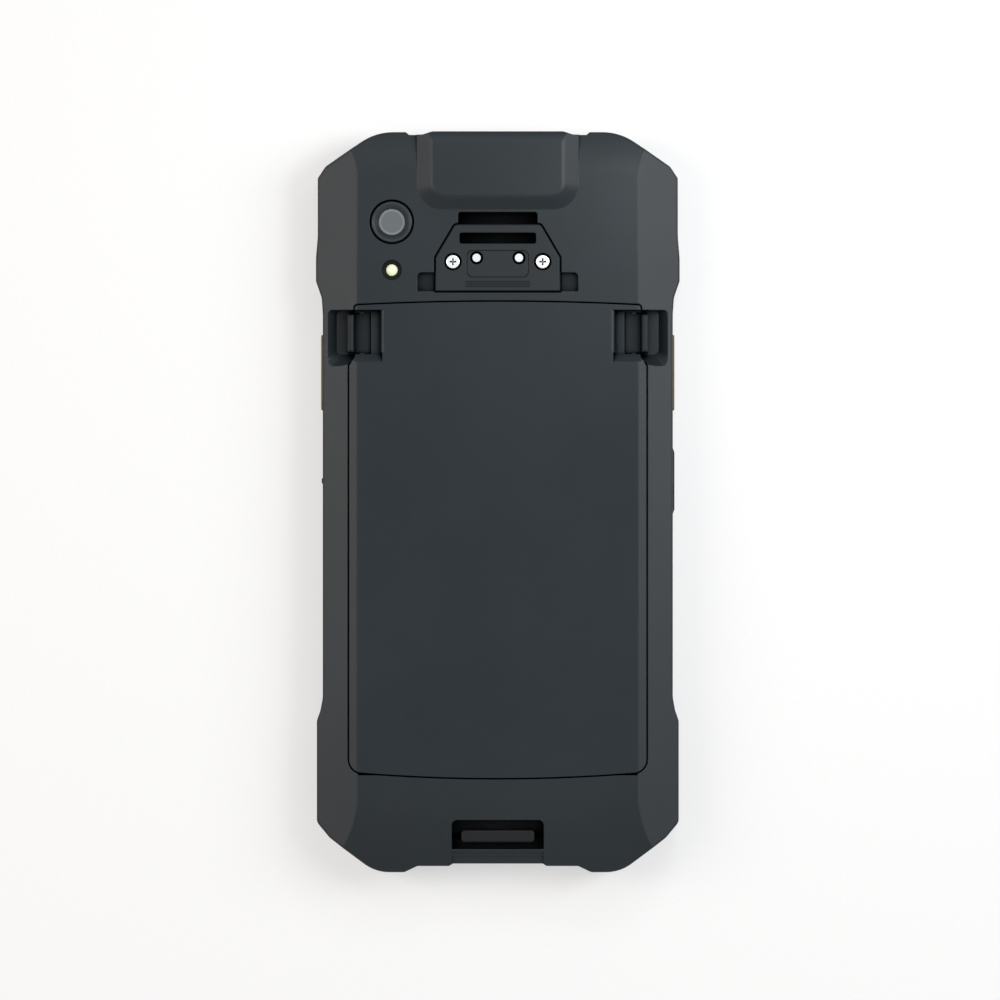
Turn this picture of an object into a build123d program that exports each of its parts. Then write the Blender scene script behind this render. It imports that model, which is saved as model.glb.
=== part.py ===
"""Rugged hand-held barcode data terminal with a tilting battery pack, lying on its display lip.

Millimetres. +Z out of the back, +Y towards the scanner end, +X to the right seen from the back.
The origin is under the middle of the device, on the plane that the display lip rests on.
"""

from build123d import *
import math
import os

# ---------------------------------------------------------------------------------------------
# Driving dimensions
# ---------------------------------------------------------------------------------------------

# Envelope
body_length = 160.2
body_width = 78.8
body_height = 15.0
waist_step = 1.5
seam_z = 9.0
wall = 1.9
top_y = body_length / 2
foot_y = -body_length / 2
bumper_x = body_width / 2
waist_x = bumper_x - waist_step

# Outline of the scanner end, from its middle out to the grip
crown_half = 14.1
notch_slope = 2.1
notch_depth = 0.65
notch_length = 3.0
lobe_slope = 0.7
shoulder_inset = 13.1
shoulder_run = 11.0
shoulder_drop = 7.4
shoulder_radius = 12.0
shoulder_tip_drop = 2.5
upper_bumper_inset = 0.4
upper_bumper_straight = 12.7
upper_bumper_swell = 4.5
upper_bumper_length = 32.2
upper_bumper_slope = 3.6
bumper_lead_in = 0.25
bumper_fade = 3.6
tip_round = 2.0
bumper_top_round = 1.0
bumper_swell_radius = 12.0
bumper_end_round = 1.5
waist_radius = 3.0
upper_fade_radius = 8.0
lower_fade_radius = 6.0
crown_round = 1.5
notch_round = 0.4

# Outline of the foot
lower_bumper_length = 32.8
lower_bumper_slope = 2.3
lower_bumper_fade = 2.7
lower_bumper_inset = 0.2
foot_tip_run = 2.8
foot_tip_drop = 3.3
foot_slope_run = 9.9
foot_slope_drop = 7.5
foot_slope_radius = 9.0
foot_lobe_half = 20.3
foot_lobe_slope = 2.9
foot_step = 1.4
foot_notch_half = 10.6
foot_notch_slope = 0.9
foot_notch_depth = 0.5
foot_tip_radius = 3.0
foot_lobe_round = 1.0
foot_notch_round = 0.3

# Back surface
facet_inset = 8.9
facet_over = 1.0
facet_angle = 22.0
crease_radius = 2.0
top_curve_length = 9.1
top_curve_drop = 1.6
foot_curve_length = 16.1
foot_curve_drop = 2.8
back_edge_round = 0.6
front_edge_round = 1.2

# Scanner bulge
bulge_height = 2.0
bulge_crest_half = 14.2
bulge_crest_length = 14.2
bulge_side_slope = 3.3
bulge_foot_slope = 2.6
bulge_crest_radius = 3.0
bulge_foot_radius = 5.5
bulge_root = 1.8
bulge_root_spread = 0.6
bulge_round = 1.6
bulge_end_length = 2.4
bulge_end_drop = 0.7
rear_wall = 1.5
block_wall = 1.2

# Display side
lip_proud = 0.4
glass_thickness = 1.1
tape_thickness = 0.25
display_thickness = 1.7
display_clearance = 0.1
glass_side_margin = 1.7
glass_end_margin = 6.1
glass_radius = 9.0
glass_gap = 0.15
display_side_border = 3.2
display_end_border = 5.0
display_gap = 0.2
receiver_slot_length = 12.0
receiver_slot_width = 1.2
receiver_inset = 2.6
receiver_corner = 0.4
receiver_width = 2.7
receiver_gap = 0.15
receiver_mesh_sunk = 0.3
glass_bevel = 0.25
adhesive_inset = 0.3
front_camera_offset = 20.0
front_camera_radius = 1.7
front_camera_gap = 0.2
front_camera_hood_radius = 1.2
front_camera_lens_radius = 0.6
front_camera_hood_depth = 0.6

# Chassis and boards
frame_thickness = 1.0
frame_gap = 0.2
frame_key_inset = 1.6
standoff_height = 0.4
standoff_radius = 1.5
board_thickness = 0.8
board_top_inset = 14.8
board_foot_inset = 14.1
can_height = 1.1
can_corner = 0.8
can_edge_gap = 3.0
can_gap = 1.2
can_split_x = 6.0
can_side_step = 2.0
can_lower_length = 42.0
can_upper_inset = 20.0
can_bevel = 0.25
board_ear = 4.5
board_ear_reach = 7.0
cavity_corner_run = 10.6
cavity_corner_drop = 7.1
cavity_radius = 2.0
lip_height = 0.5
lip_thickness = 0.8
lip_gap = 0.1
seal_inset = 0.5
seal_width = 0.6
seal_depth = 0.4

# Battery bay and pack
seam_gap = 0.35
cover_side_inset = 7.1
cover_neck_step = 1.25
cover_neck_from_top = 48.5
cover_neck_slope = 2.1
cover_top_inset = 36.6
cover_top_crown = 0.8
cover_foot_inset = 20.35
cover_foot_crown = 1.4
cover_foot_radius = 3.0
cover_top_radius = 0.8
cover_thickness = 2.0
cover_rest_gap = 0.1
pack_bottom_gap = 0.2
pack_side_setback = 1.15
pack_side_gap = 0.3
pack_foot_setback = 1.05
pack_top_setback = 0.7
pack_top_gap = 0.4
pack_wall = 1.0
pack_floor = 0.7
bay_floor_thickness = 1.2
bay_wall = 1.4
tilt_limit = 35.0
hook_inner_radius = 2.9
hook_outer_radius = 3.8
hook_gap = 0.15
hook_start_angle = 222.0
hook_end_angle = 292.0
hook_width = 8.0
hook_spread = 36.0
cell_gap = 0.4
cell_round = 1.2
connector_length = 16.0
connector_width = 5.0
connector_gap = 0.2
connector_inset = 5.5
terminal_pitch = 3.6
terminal_count = 4
terminal_width = 1.6
terminal_slot_depth = 1.4
terminal_slot_end = 0.8
terminal_gap = 0.1
pad_contact_gap = 0.05

# Battery latches
latch_low_from_top = 47.7
latch_length = 8.3
latch_face_inset = 3.45
latch_face_width = 3.4
latch_ridge_width = 1.6
latch_travel = 0.9
latch_gap = 0.1
latch_well_depth = 2.3
latch_face_height = 2.1
latch_ridge_height = 3.7
latch_under = 0.6
latch_window_gap = 0.2
latch_end_gap = 0.35
latch_foot_width = 1.3
latch_foot_reach = 0.6
latch_round = 0.7
latch_spring_radius = 0.6
latch_spring_wire = 0.11
latch_spring_turns = 4
latch_bore_radius = 0.76
latch_bore_depth = 2.6
finger_pocket_inset = 4.5
finger_pocket_length = 9.2
finger_pocket_side_slope = 1.05
finger_pocket_wall_slope = 0.1
finger_pocket_ramp_slope = 1.3
finger_pocket_corner = 1.2
pack_pocket_reach = 2.2
pack_pocket_depth = 1.5
pack_pocket_round = 0.9
pack_ramp_length = 2.1
pack_edge_round = 0.6
cell_swell_gap = 0.2
pad_width = 2.4
pad_length = 3.4
pad_gap = 0.03

# Side keys
key_height = 3.6
key_z = 6.2
key_gap = 0.12
key_flange = 0.4
key_flange_thickness = 0.6
key_flange_gap = 0.05
key_travel = 0.35
key_nib = 0.25
key_corner = 1.2
key_edge_round = 0.25
nib_length = 3.0
nib_height = 1.6
nib_corner = 0.5
switch_gap = 0.05
scan_key_length = 16.4
scan_key_from_top = 51.95
scan_key_proud = 0.45
lower_key_length = 14.9
lower_key_from_top = 75.45
talk_key_proud = 0.45
talk_key_taper = 1.3
rocker_flange_gap = 0.3
rib_gap = 0.02
rocker_pip_length = 1.3
rocker_pip_height = 0.35
rocker_pip_round = 0.3
rocker_nib_offset = 5.2
switch_length = 4.4
switch_height = 3.1
switch_depth = 1.9
switch_plunger_radius = 0.9
switch_plunger_length = 0.8
power_key_length = 8.0
power_key_height = 2.8
power_key_offset = 18.6
power_key_z = 5.2
power_key_travel = 0.3
power_pocket_depth = 1.1
power_pocket_land = 0.64
power_key_sunk = 0.8

# Accessory plate with its strap slots, screws and contacts
plate_half = 13.5
plate_top_half = 9.3
plate_foot_from_top = 34.5
plate_shoulder = 7.35
plate_length = 14.5
plate_thickness = 2.0
plate_sunk = 0.15
plate_gap = 0.3
plate_corner = 1.0
slot_half = 8.3
slot_width = 2.4
slot_corner = 0.5
bar_width = 1.8
upper_slot_width = 2.65
strap_well_depth = 4.8
well_corner = 0.6
plate_screw_x = 9.7
plate_screw_rise = 6.4
plate_head_radius = 1.52
plate_head_height = 0.7
plate_head_round = 0.25
plate_counterbore_radius = 1.9
plate_counterbore_depth = 0.95
screw_radius = 0.8
screw_hole_gap = 0.02
plate_screw_depth = 2.6
insert_half = 6.62
insert_low = 3.1
insert_length = 5.7
insert_corner = 1.3
insert_gap = 0.08
insert_sunk = 0.12
contact_x = 4.58
contact_rise = 7.25
contact_radius = 1.11
contact_ring_radius = 1.41
contact_ring_depth = 0.4
contact_gap = 0.02
contact_sunk = 0.1
contact_round = 0.2
side_pocket_width = 3.9
side_pocket_length = 4.1
side_pocket_depth = 1.9
side_pocket_corner = 1.0
groove_pitch = 0.5
groove_width = 0.2
groove_length = 14.0
groove_depth = 0.12
groove_count = 3
plate_edge_bevel = 0.25
cross_length = 1.5
cross_width = 0.35
cross_depth = 0.4

# Camera and flash
camera_inset = 16.5
camera_from_top = 19.5
camera_hole_radius = 4.85
camera_ring_radius = 4.45
camera_window_radius = 2.8
camera_seat_depth = 2.4
camera_window_depth = 1.0
camera_window_thickness = 0.5
camera_window_gap = 0.05
camera_ring_lip = 0.1
camera_throat_radius = 2.3
camera_barrel_radius = 2.1
camera_barrel_gap = 0.2
camera_lens_radius = 0.7
camera_hood_radius = 1.7
camera_hood_depth = 0.6
camera_body_corner = 0.8
camera_body = 8.4
camera_body_height = 4.3
camera_ring_bevel = 0.2
camera_ring_land = 0.6
flash_dome = 0.4
flash_lamp_size = 3.0
flash_from_top = 29.9
flash_recess_radius = 2.2
flash_lens_radius = 1.23
flash_recess_depth = 1.0
flash_lens_gap = 0.05
camera_boss_height = 1.0
camera_barrel_room = 3.4

# Scan engine and its window
window_half = 11.9
window_height = 6.1
window_thickness = 1.0
window_sunk = 0.9
window_sill = 0.35
window_land = 1.2
window_gap = 0.05
window_corner = 0.8
engine_half = 10.5
engine_length = 10.6
engine_height = 6.8
engine_gap = 0.4
bracket_sheet = 0.8
bracket_rise = 2.5
bracket_foot = 2.0
engine_lens_radius = 1.9
engine_lens_land = 0.5
engine_lens_rim = 0.3
engine_lens_dome = 0.7
engine_bore_depth = 1.2
engine_lamp_x = 6.2
engine_lamp_width = 3.4
engine_lamp_height = 3.0
engine_lamp_depth = 0.8
engine_lamp_corner = 0.5
engine_round = 0.8

# Foot of the device
tether_half = 9.96
tether_from_foot = 5.1
tether_length = 6.35
tether_depth = 4.6
tether_corner = 1.2
tether_bar_half = 7.95
tether_bar_width = 2.7
tether_bar_height = 2.5
tether_bar_round = 0.45
tether_bar_corner = 0.8
tether_bar_sunk = 0.9
tether_bar_offset = 0.35
tether_pin_radius = 0.6
tether_pin_drop = 0.6
tether_pin_gap = 0.05
tether_pin_reach = 0.9
scoop_share = 0.6
scoop_start = 0.6
scoop_ramp = 1.0
scoop_drop = 0.5
scoop_step = 0.15
scoop_fall = 0.35
usb_width = 8.94
usb_height = 3.26
usb_depth = 7.3
usb_shell = 0.3
usb_gap = 0.15
usb_tongue_width = 6.7
usb_tongue_height = 0.7
usb_back = 1.2
usb_tongue_sunk = 0.9
dock_contact_sunk = 0.2
dock_contact_back = 0.8
dock_contact_gap = 0.03
speaker_width = 9.5
speaker_length = 8.0
speaker_height = 2.6
speaker_gap = 0.3
speaker_corner = 1.0
motor_radius = 4.0
motor_height = 2.6
motor_gap = 1.5
motor_bevel = 0.3
dock_contact_x = 7.4
dock_contact_width = 2.0
dock_contact_height = 2.6
sound_hole_radius = 0.55
sound_hole_pitch = 1.5
sound_hole_count = 4

# Screws that close the housings
housing_screw_inset = 3.5
housing_screw_radius = 0.8
housing_head_radius = 1.4
housing_head_height = 0.6
housing_boss_radius = 1.9
housing_counterbore_gap = 0.2
housing_head_sunk = 0.1
screw_clearance = 0.1
housing_screw_pitch = 44.0
housing_screw_reach = 2.2
screw_end_gap = 0.2
drive_radius = 0.6
drive_depth = 0.35
standoff_inset = 4.5
standoff_end_inset = 4.0

# ---------------------------------------------------------------------------------------------
# Levels and stations worked out from the driving dimensions
# ---------------------------------------------------------------------------------------------

facet_x = bumper_x - facet_inset
glass_width = 2 * (waist_x - glass_side_margin)
glass_length = body_length - 2 * glass_end_margin
display_width = glass_width - 2 * display_side_border
display_length = glass_length - 2 * display_end_border
front_camera_x = -front_camera_offset
power_key_x = -power_key_offset

glass_back_z = lip_proud + glass_thickness
glass_seat_z = glass_back_z + tape_thickness
ledge_top_z = glass_back_z + display_thickness + display_clearance
frame_top_z = ledge_top_z + frame_thickness
board_z = frame_top_z + standoff_height
board_top_z = board_z + board_thickness
crest_z = body_height + bulge_height
facet_slope = math.tan(math.radians(facet_angle))

receiver_y = glass_length / 2 - receiver_inset

cavity_x = waist_x - wall
cavity_top = top_y - notch_depth - wall
cavity_foot = foot_y + foot_step + foot_notch_depth + wall

cover_side_x = bumper_x - cover_side_inset
cover_neck_x = cover_side_x - cover_neck_step
pack_half = cover_neck_x - pack_side_setback
latch_face_x = cover_neck_x - latch_face_inset
finger_pocket_x = bumper_x - finger_pocket_inset
pack_pocket_x = latch_face_x - pack_pocket_reach
camera_x = camera_inset - bumper_x
housing_screw_x = pack_half - housing_screw_inset
board_half = housing_screw_x - housing_boss_radius
board_top_y = top_y - board_top_inset
board_foot_y = foot_y + board_foot_inset
sound_hole_x = -(foot_notch_half + foot_lobe_half - foot_lobe_slope) / 2

bracket_top_z = board_top_z + bracket_rise
cover_z = body_height - cover_thickness
cover_top_y = top_y - cover_top_inset
cover_foot_y = foot_y + cover_foot_inset
cover_ledge_z = cover_z - cover_rest_gap
pack_top_y = cover_top_y - cover_top_crown - pack_top_setback
pack_foot_y = cover_foot_y + pack_foot_setback
pack_z = board_top_z + can_height + 0.4 + bay_floor_thickness + pack_bottom_gap
bay_floor_z = pack_z - pack_bottom_gap
tub_z = bay_floor_z - bay_floor_thickness
housing_head_z = bay_floor_z - housing_head_sunk
bay_half = pack_half + pack_side_gap
bay_top_y = pack_top_y + pack_top_gap
bay_foot_y = pack_foot_y - pack_side_gap
tilt_y = cover_foot_y
tilt_z = body_height

latch_low_y = top_y - latch_low_from_top
latch_y = latch_low_y + latch_length / 2
latch_well_z = cover_z - latch_well_depth
latch_z = latch_well_z + latch_gap
latch_inner_x = latch_face_x - latch_under
latch_wall_x = latch_inner_x - latch_travel - latch_gap / 2
latch_window_x = latch_face_x - latch_window_gap
finger_pocket_z = latch_well_z - latch_gap

scan_key_y = top_y - scan_key_from_top
lower_key_y = top_y - lower_key_from_top
flange_x = cavity_x - key_flange_gap
key_back_x = flange_x - key_flange_thickness - key_nib
switch_x = key_back_x - key_travel - switch_gap
power_face_y = top_y - power_key_sunk
power_flange_y = cavity_top - key_flange_gap
power_back_y = power_flange_y - key_flange_thickness - key_nib
power_switch_y = power_back_y - power_key_travel - switch_gap

plate_foot_y = top_y - plate_foot_from_top
plate_top_y = plate_foot_y + plate_length
plate_top_z = body_height - plate_sunk
plate_z = plate_top_z - plate_thickness
well_top_y = plate_top_y + upper_slot_width
well_foot_y = plate_top_y - bar_width - slot_width
well_z = body_height - strap_well_depth
plate_screw_y = plate_foot_y + plate_screw_rise
contact_y = plate_foot_y + contact_rise
insert_y = plate_foot_y + insert_low + insert_length / 2

camera_y = top_y - camera_from_top
flash_y = top_y - flash_from_top
camera_seat_z = body_height - camera_seat_depth
camera_window_z = body_height - camera_window_depth

tether_y = foot_y + tether_from_foot + tether_length / 2
tether_z = body_height - tether_depth - 0.4
usb_z = frame_top_z + 0.1 + usb_height / 2
usb_face_y = foot_y + foot_step + foot_notch_depth + 0.25
sound_hole_z = usb_z

tether_bar_y = tether_y - tether_bar_offset
tether_bar_z = body_height - tether_bar_sunk - tether_bar_height / 2
tether_pin_z = tether_bar_z - tether_pin_drop
scoop_top_y = tether_y - tether_length / 2 - scoop_start
scoop_foot_y = scoop_top_y - scoop_ramp
scoop_z = body_height - scoop_share * foot_curve_drop
scoop_low_z = scoop_z - scoop_drop - scoop_step
connector_y = pack_top_y - connector_inset
pocket_top_y = latch_low_y + finger_pocket_length
hollow_high_y = cover_top_y + bay_wall
hollow_low_y = tilt_y - hook_outer_radius - bay_wall
window_z = seam_z + window_sill + window_height / 2
engine_z = bracket_top_z
engine_top_z = engine_z + engine_height
engine_front_y = cavity_top - lip_gap - lip_thickness - engine_gap
engine_y = engine_front_y - engine_length / 2
housing_screw_places = [
    (sign * housing_screw_x, (bay_foot_y + bay_top_y) / 2 + row * housing_screw_pitch)
    for row in (-1, 0, 1)
    for sign in (-1, 1)
]

standoff_places = [
    (sign * (board_half - standoff_inset), y)
    for y in (board_foot_y + standoff_end_inset, 0, board_top_y - 3 * standoff_end_inset)
    for sign in (-1, 1)
]
# Shield cans on the main board, each as (low x, low y, high x, high y)
can_left = -board_half + can_edge_gap
can_right = board_half - can_edge_gap
can_low_y = board_foot_y + can_edge_gap
can_high_y = connector_y - connector_width
can_step_y = can_low_y + can_lower_length
shield_can_places = [
    (can_left, can_low_y, can_split_x, can_step_y - can_gap),
    (can_left, can_step_y, can_split_x - can_gap, can_high_y),
    (can_split_x, can_step_y, can_right - can_side_step, can_high_y),
    (
        can_left + can_upper_inset,
        connector_y + connector_width,
        can_right - can_side_step,
        board_top_y - can_edge_gap,
    ),
]
camera_module_z = board_top_z
flash_lamp_z = camera_seat_z - camera_boss_height

beyond = 5.0
hair = 0.01


def side_signs():
    """The two sides of the device, -X first."""
    return (-1, 1)


# ---------------------------------------------------------------------------------------------
# Shared outlines
# ---------------------------------------------------------------------------------------------

# Stations of the outer outline
notch_start = crown_half + notch_slope
notch_end = notch_start + notch_length
upper_x = bumper_x - upper_bumper_inset
shoulder_x = bumper_x - shoulder_inset
shoulder_end_y = top_y - shoulder_drop
upper_bumper_top = shoulder_end_y - shoulder_tip_drop
upper_bumper_mid = upper_bumper_top - upper_bumper_straight
upper_bumper_end = top_y - upper_bumper_length
upper_waist = upper_bumper_end - upper_bumper_slope
lower_x = bumper_x - lower_bumper_inset
lower_bumper_top = foot_y + lower_bumper_length
lower_waist = lower_bumper_top + lower_bumper_slope
lower_tip_y = foot_y + foot_slope_drop
foot_floor_y = foot_y + foot_step + foot_notch_depth

# Right side from shoulder to foot slope: (point, corner radius)
flank = [
    ((shoulder_x, top_y), shoulder_radius),
    ((shoulder_x + shoulder_run, shoulder_end_y), tip_round),
    ((upper_x, upper_bumper_top), bumper_top_round),
    ((upper_x, upper_bumper_mid), bumper_swell_radius),
    ((bumper_x, upper_bumper_mid - upper_bumper_swell), bumper_swell_radius),
    ((bumper_x, upper_bumper_end), bumper_end_round),
    ((waist_x + bumper_lead_in, upper_waist), waist_radius),
    ((waist_x, upper_waist - bumper_fade), upper_fade_radius),
    ((waist_x, lower_waist + lower_bumper_fade), lower_fade_radius),
    ((waist_x + 2 * bumper_lead_in, lower_waist), waist_radius),
    ((lower_x, lower_bumper_top), bumper_end_round),
    ((lower_x, lower_tip_y + foot_tip_drop), tip_round),
    ((lower_x - foot_tip_run, lower_tip_y), foot_tip_radius),
    ((lower_x - foot_tip_run - foot_slope_run, foot_y), foot_slope_radius),
]

# Crown, sighting notches and corner lobes of the scanner end, and the steps of the foot
crown_steps = [
    ((crown_half, top_y), crown_round),
    ((notch_start, top_y - notch_depth), crown_round),
    ((notch_end, top_y - notch_depth), notch_round),
    ((notch_end + lobe_slope, top_y), notch_round),
]
foot_steps = [
    ((foot_lobe_half, foot_y), foot_lobe_round),
    ((foot_lobe_half - foot_lobe_slope, foot_y + foot_step), foot_lobe_round),
    ((foot_notch_half, foot_y + foot_step), foot_notch_round),
    ((foot_notch_half - foot_notch_slope, foot_floor_y), foot_notch_round),
]


def outline_sketch(first_point, corners, last_point):
    """Closed sketch from one half of an outline, given as (point, radius) pairs, and its mirror."""
    points = [first_point] + [point for point, radius in corners] + [last_point]
    with BuildSketch() as outline:
        with BuildLine():
            half = FilletPolyline(*points, radius=[radius for point, radius in corners])
            mirror(half, about=Plane.YZ)
        make_face()
    return outline.sketch


# Outer outline seen from the back, with and without its notches
body_sketch = outline_sketch((0, top_y), crown_steps + flank + foot_steps, (0, foot_floor_y))
plain_sketch = outline_sketch((0, top_y), flank, (0, foot_y))

# Inner face of the side walls
with BuildSketch() as cavity_outline:
    with BuildLine():
        Polyline(
            (cavity_x, cavity_foot + cavity_corner_drop),
            (cavity_x, cavity_top - cavity_corner_drop),
            (cavity_x - cavity_corner_run, cavity_top),
            (-cavity_x + cavity_corner_run, cavity_top),
            (-cavity_x, cavity_top - cavity_corner_drop),
            (-cavity_x, cavity_foot + cavity_corner_drop),
            (-cavity_x + cavity_corner_run, cavity_foot),
            (cavity_x - cavity_corner_run, cavity_foot),
            close=True,
        )
    make_face()
    fillet(cavity_outline.vertices(), cavity_radius)

# Inner edge of the seal groove, and inner face of the locating lip
with BuildSketch() as seal_inside:
    add(cavity_outline.sketch)
    offset(amount=seal_inset, mode=Mode.REPLACE)

with BuildSketch() as lip_inside:
    add(cavity_outline.sketch)
    offset(amount=-(lip_gap + lip_thickness), mode=Mode.REPLACE)

# Middle of the seam between the battery cover and the rear housing
with BuildSketch() as cover_outline:
    cover_corner_y = cover_top_y - cover_top_crown
    cover_foot_corner_y = cover_foot_y + cover_foot_crown
    neck_y = top_y - cover_neck_from_top
    with BuildLine():
        ThreePointArc(
            (-cover_neck_x, cover_corner_y),
            (0, cover_top_y),
            (cover_neck_x, cover_corner_y),
        )
        side_seam = Polyline(
            (cover_neck_x, cover_corner_y),
            (cover_neck_x, neck_y),
            (cover_side_x, neck_y - cover_neck_slope),
            (cover_side_x, cover_foot_corner_y),
        )
        mirror(side_seam, about=Plane.YZ)
        ThreePointArc(
            (cover_side_x, cover_foot_corner_y),
            (0, cover_foot_y),
            (-cover_side_x, cover_foot_corner_y),
        )
    make_face()
    fillet(cover_outline.vertices().group_by(Axis.Y)[0], cover_foot_radius)
    fillet(cover_outline.vertices().group_by(Axis.Y)[-1], cover_top_radius)

# Accessory plate: a rectangle with its two upper corners cut back
with BuildSketch() as plate_outline:
    with BuildLine():
        Polyline(
            (-plate_half, plate_foot_y),
            (plate_half, plate_foot_y),
            (plate_half, plate_foot_y + plate_shoulder),
            (plate_top_half, plate_top_y),
            (-plate_top_half, plate_top_y),
            (-plate_half, plate_foot_y + plate_shoulder),
            close=True,
        )
    make_face()
    fillet(plate_outline.vertices().group_by(Axis.Y)[1:], plate_corner)

# Cross-section of the back: a flat middle and a sloping facet on each side
facet_reach = bumper_x + facet_over
facet_end_z = body_height - (facet_reach - facet_x) * facet_slope


def back_cross_section(lowest_z, offset_z):
    """Sketch on the XZ plane of everything under the back surface, moved by offset_z."""
    with BuildSketch(Plane.XZ) as section:
        with BuildLine():
            FilletPolyline(
                (0, body_height + offset_z),
                (facet_x, body_height + offset_z),
                (facet_reach, facet_end_z + offset_z),
                (facet_reach, lowest_z),
                (0, lowest_z),
                radius=[crease_radius, 0, 0],
            )
            Line((0, lowest_z), (0, body_height + offset_z))
        make_face()
        mirror(about=Plane.YZ)
    return section.sketch


def back_long_section(lowest_z, offset_z):
    """Sketch on the YZ plane of everything under the back surface, with its curved ends."""
    high = body_height + offset_z
    with BuildSketch(Plane.YZ) as section:
        with BuildLine():
            Line((foot_y + foot_curve_length, high), (top_y - top_curve_length, high))
            TangentArc(
                (top_y - top_curve_length, high),
                (top_y, high - top_curve_drop),
                tangent=(1, 0),
            )
            Polyline(
                (top_y, high - top_curve_drop),
                (top_y + beyond, high - top_curve_drop),
                (top_y + beyond, lowest_z),
                (foot_y - beyond, lowest_z),
                (foot_y - beyond, high - foot_curve_drop),
                (foot_y, high - foot_curve_drop),
            )
            TangentArc(
                (foot_y + foot_curve_length, high),
                (foot_y, high - foot_curve_drop),
                tangent=(-1, 0),
            )
        make_face()
    return section.sketch


os.makedirs("parts", exist_ok=True)


def save(piece, name):
    """Label a finished piece and write it to its own file."""
    piece.part.label = name
    export_step(piece.part, f"parts/{name}.step")


# ---------------------------------------------------------------------------------------------
# Front housing: side walls, display lip and the ledge that carries the glass
# ---------------------------------------------------------------------------------------------

with BuildPart() as front_housing:
    with BuildSketch():
        add(plain_sketch)
    extrude(amount=seam_z)
    fillet(front_housing.faces().sort_by(Axis.Z)[0].edges(), front_edge_round)
    with BuildSketch():
        add(body_sketch)
    extrude(amount=seam_z, mode=Mode.INTERSECT)
    # Recess for the touch glass
    with BuildSketch():
        RectangleRounded(glass_width + 2 * glass_gap, glass_length + 2 * glass_gap, glass_radius)
    extrude(amount=glass_seat_z, mode=Mode.SUBTRACT)
    # Window for the display behind the glass
    with BuildSketch(Plane.XY.offset(glass_seat_z)):
        Rectangle(display_width + 2 * display_gap, display_length + 2 * display_gap)
    extrude(amount=ledge_top_z - glass_seat_z, mode=Mode.SUBTRACT)
    # Holes in the ledge for the earpiece and the front camera
    with BuildSketch(Plane.XY.offset(glass_seat_z)):
        with Locations((0, receiver_y)):
            RectangleRounded(
                receiver_slot_length + 2 * receiver_gap,
                receiver_width + 2 * receiver_gap,
                receiver_corner + receiver_gap,
            )
        with Locations((front_camera_x, receiver_y)):
            Circle(front_camera_radius + front_camera_gap)
    extrude(amount=ledge_top_z - glass_seat_z, mode=Mode.SUBTRACT)
    # Interior above the ledge
    with BuildSketch(Plane.XY.offset(ledge_top_z)):
        add(cavity_outline.sketch)
    extrude(amount=seam_z - ledge_top_z, mode=Mode.SUBTRACT)
    # Groove for the housing seal
    with BuildSketch(Plane.XY.offset(seam_z - seal_depth)):
        add(cavity_outline.sketch)
        offset(amount=seal_inset + seal_width, mode=Mode.REPLACE)
        add(seal_inside.sketch, mode=Mode.SUBTRACT)
    extrude(amount=seal_depth, mode=Mode.SUBTRACT)
    # Windows for the side keys
    for sign, key_y, key_length in (
        (-1, scan_key_y, scan_key_length),
        (1, scan_key_y, scan_key_length),
        (-1, lower_key_y, lower_key_length),
        (1, lower_key_y, lower_key_length),
    ):
        with BuildSketch(Plane.YZ.offset(sign * (cavity_x + wall / 2))):
            with Locations((key_y, key_z)):
                RectangleRounded(
                    key_length + 2 * key_gap, key_height + 2 * key_gap, key_corner + key_gap
                )
        extrude(amount=wall, both=True, mode=Mode.SUBTRACT)
    # Pocket and window for the power key in the scanner end
    with BuildSketch(Plane.XZ.offset(-top_y)):
        with Locations((power_key_x, power_key_z)):
            SlotOverall(
                power_key_length + 2 * power_pocket_land, power_key_height + 2 * power_pocket_land
            )
    extrude(amount=power_pocket_depth, mode=Mode.SUBTRACT)
    with BuildSketch(Plane.XZ.offset(-top_y)):
        with Locations((power_key_x, power_key_z)):
            SlotOverall(power_key_length + 2 * key_gap, power_key_height + 2 * key_gap)
    extrude(amount=top_y - cavity_top + 1, mode=Mode.SUBTRACT)
    # Opening for the cable socket
    with BuildSketch(Plane.XZ.offset(-foot_y)):
        with Locations((0, usb_z)):
            SlotOverall(usb_width + 2 * usb_gap, usb_height + 2 * usb_gap)
    extrude(amount=-(cavity_foot - foot_y + 1), mode=Mode.SUBTRACT)
    # Openings for the two charging contacts
    with BuildSketch(Plane.XZ.offset(-foot_y)):
        with Locations((-dock_contact_x, usb_z), (dock_contact_x, usb_z)):
            Rectangle(dock_contact_width, dock_contact_height)
    extrude(amount=-(cavity_foot - foot_y + 1), mode=Mode.SUBTRACT)
    # Sound holes of the speaker
    with BuildSketch(Plane.XZ.offset(-foot_y)):
        with Locations((sound_hole_x, sound_hole_z)):
            with GridLocations(sound_hole_pitch, 1, sound_hole_count, 1):
                Circle(sound_hole_radius)
    extrude(amount=-(cavity_foot - foot_y + 1), mode=Mode.SUBTRACT)
save(front_housing, "front_housing")

# ---------------------------------------------------------------------------------------------
# Rear housing: faceted back, scanner bulge, battery bay, finger pockets and strap recesses
# ---------------------------------------------------------------------------------------------

outer_cross = back_cross_section(seam_z - 1, 0)
outer_long = back_long_section(seam_z - 1, 0)

plain_rim = plain_sketch.face().outer_wire()


def on_rim(edge):
    """True for an edge of the back surface that runs along the outer outline."""
    middle = edge @ 0.5
    upright = abs((edge % 0.5).Z) > 0.9
    return (
        middle.Z > seam_z + hair
        and not upright
        and plain_rim.distance_to(Vector(middle.X, middle.Y, 0)) < hair
    )


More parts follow.
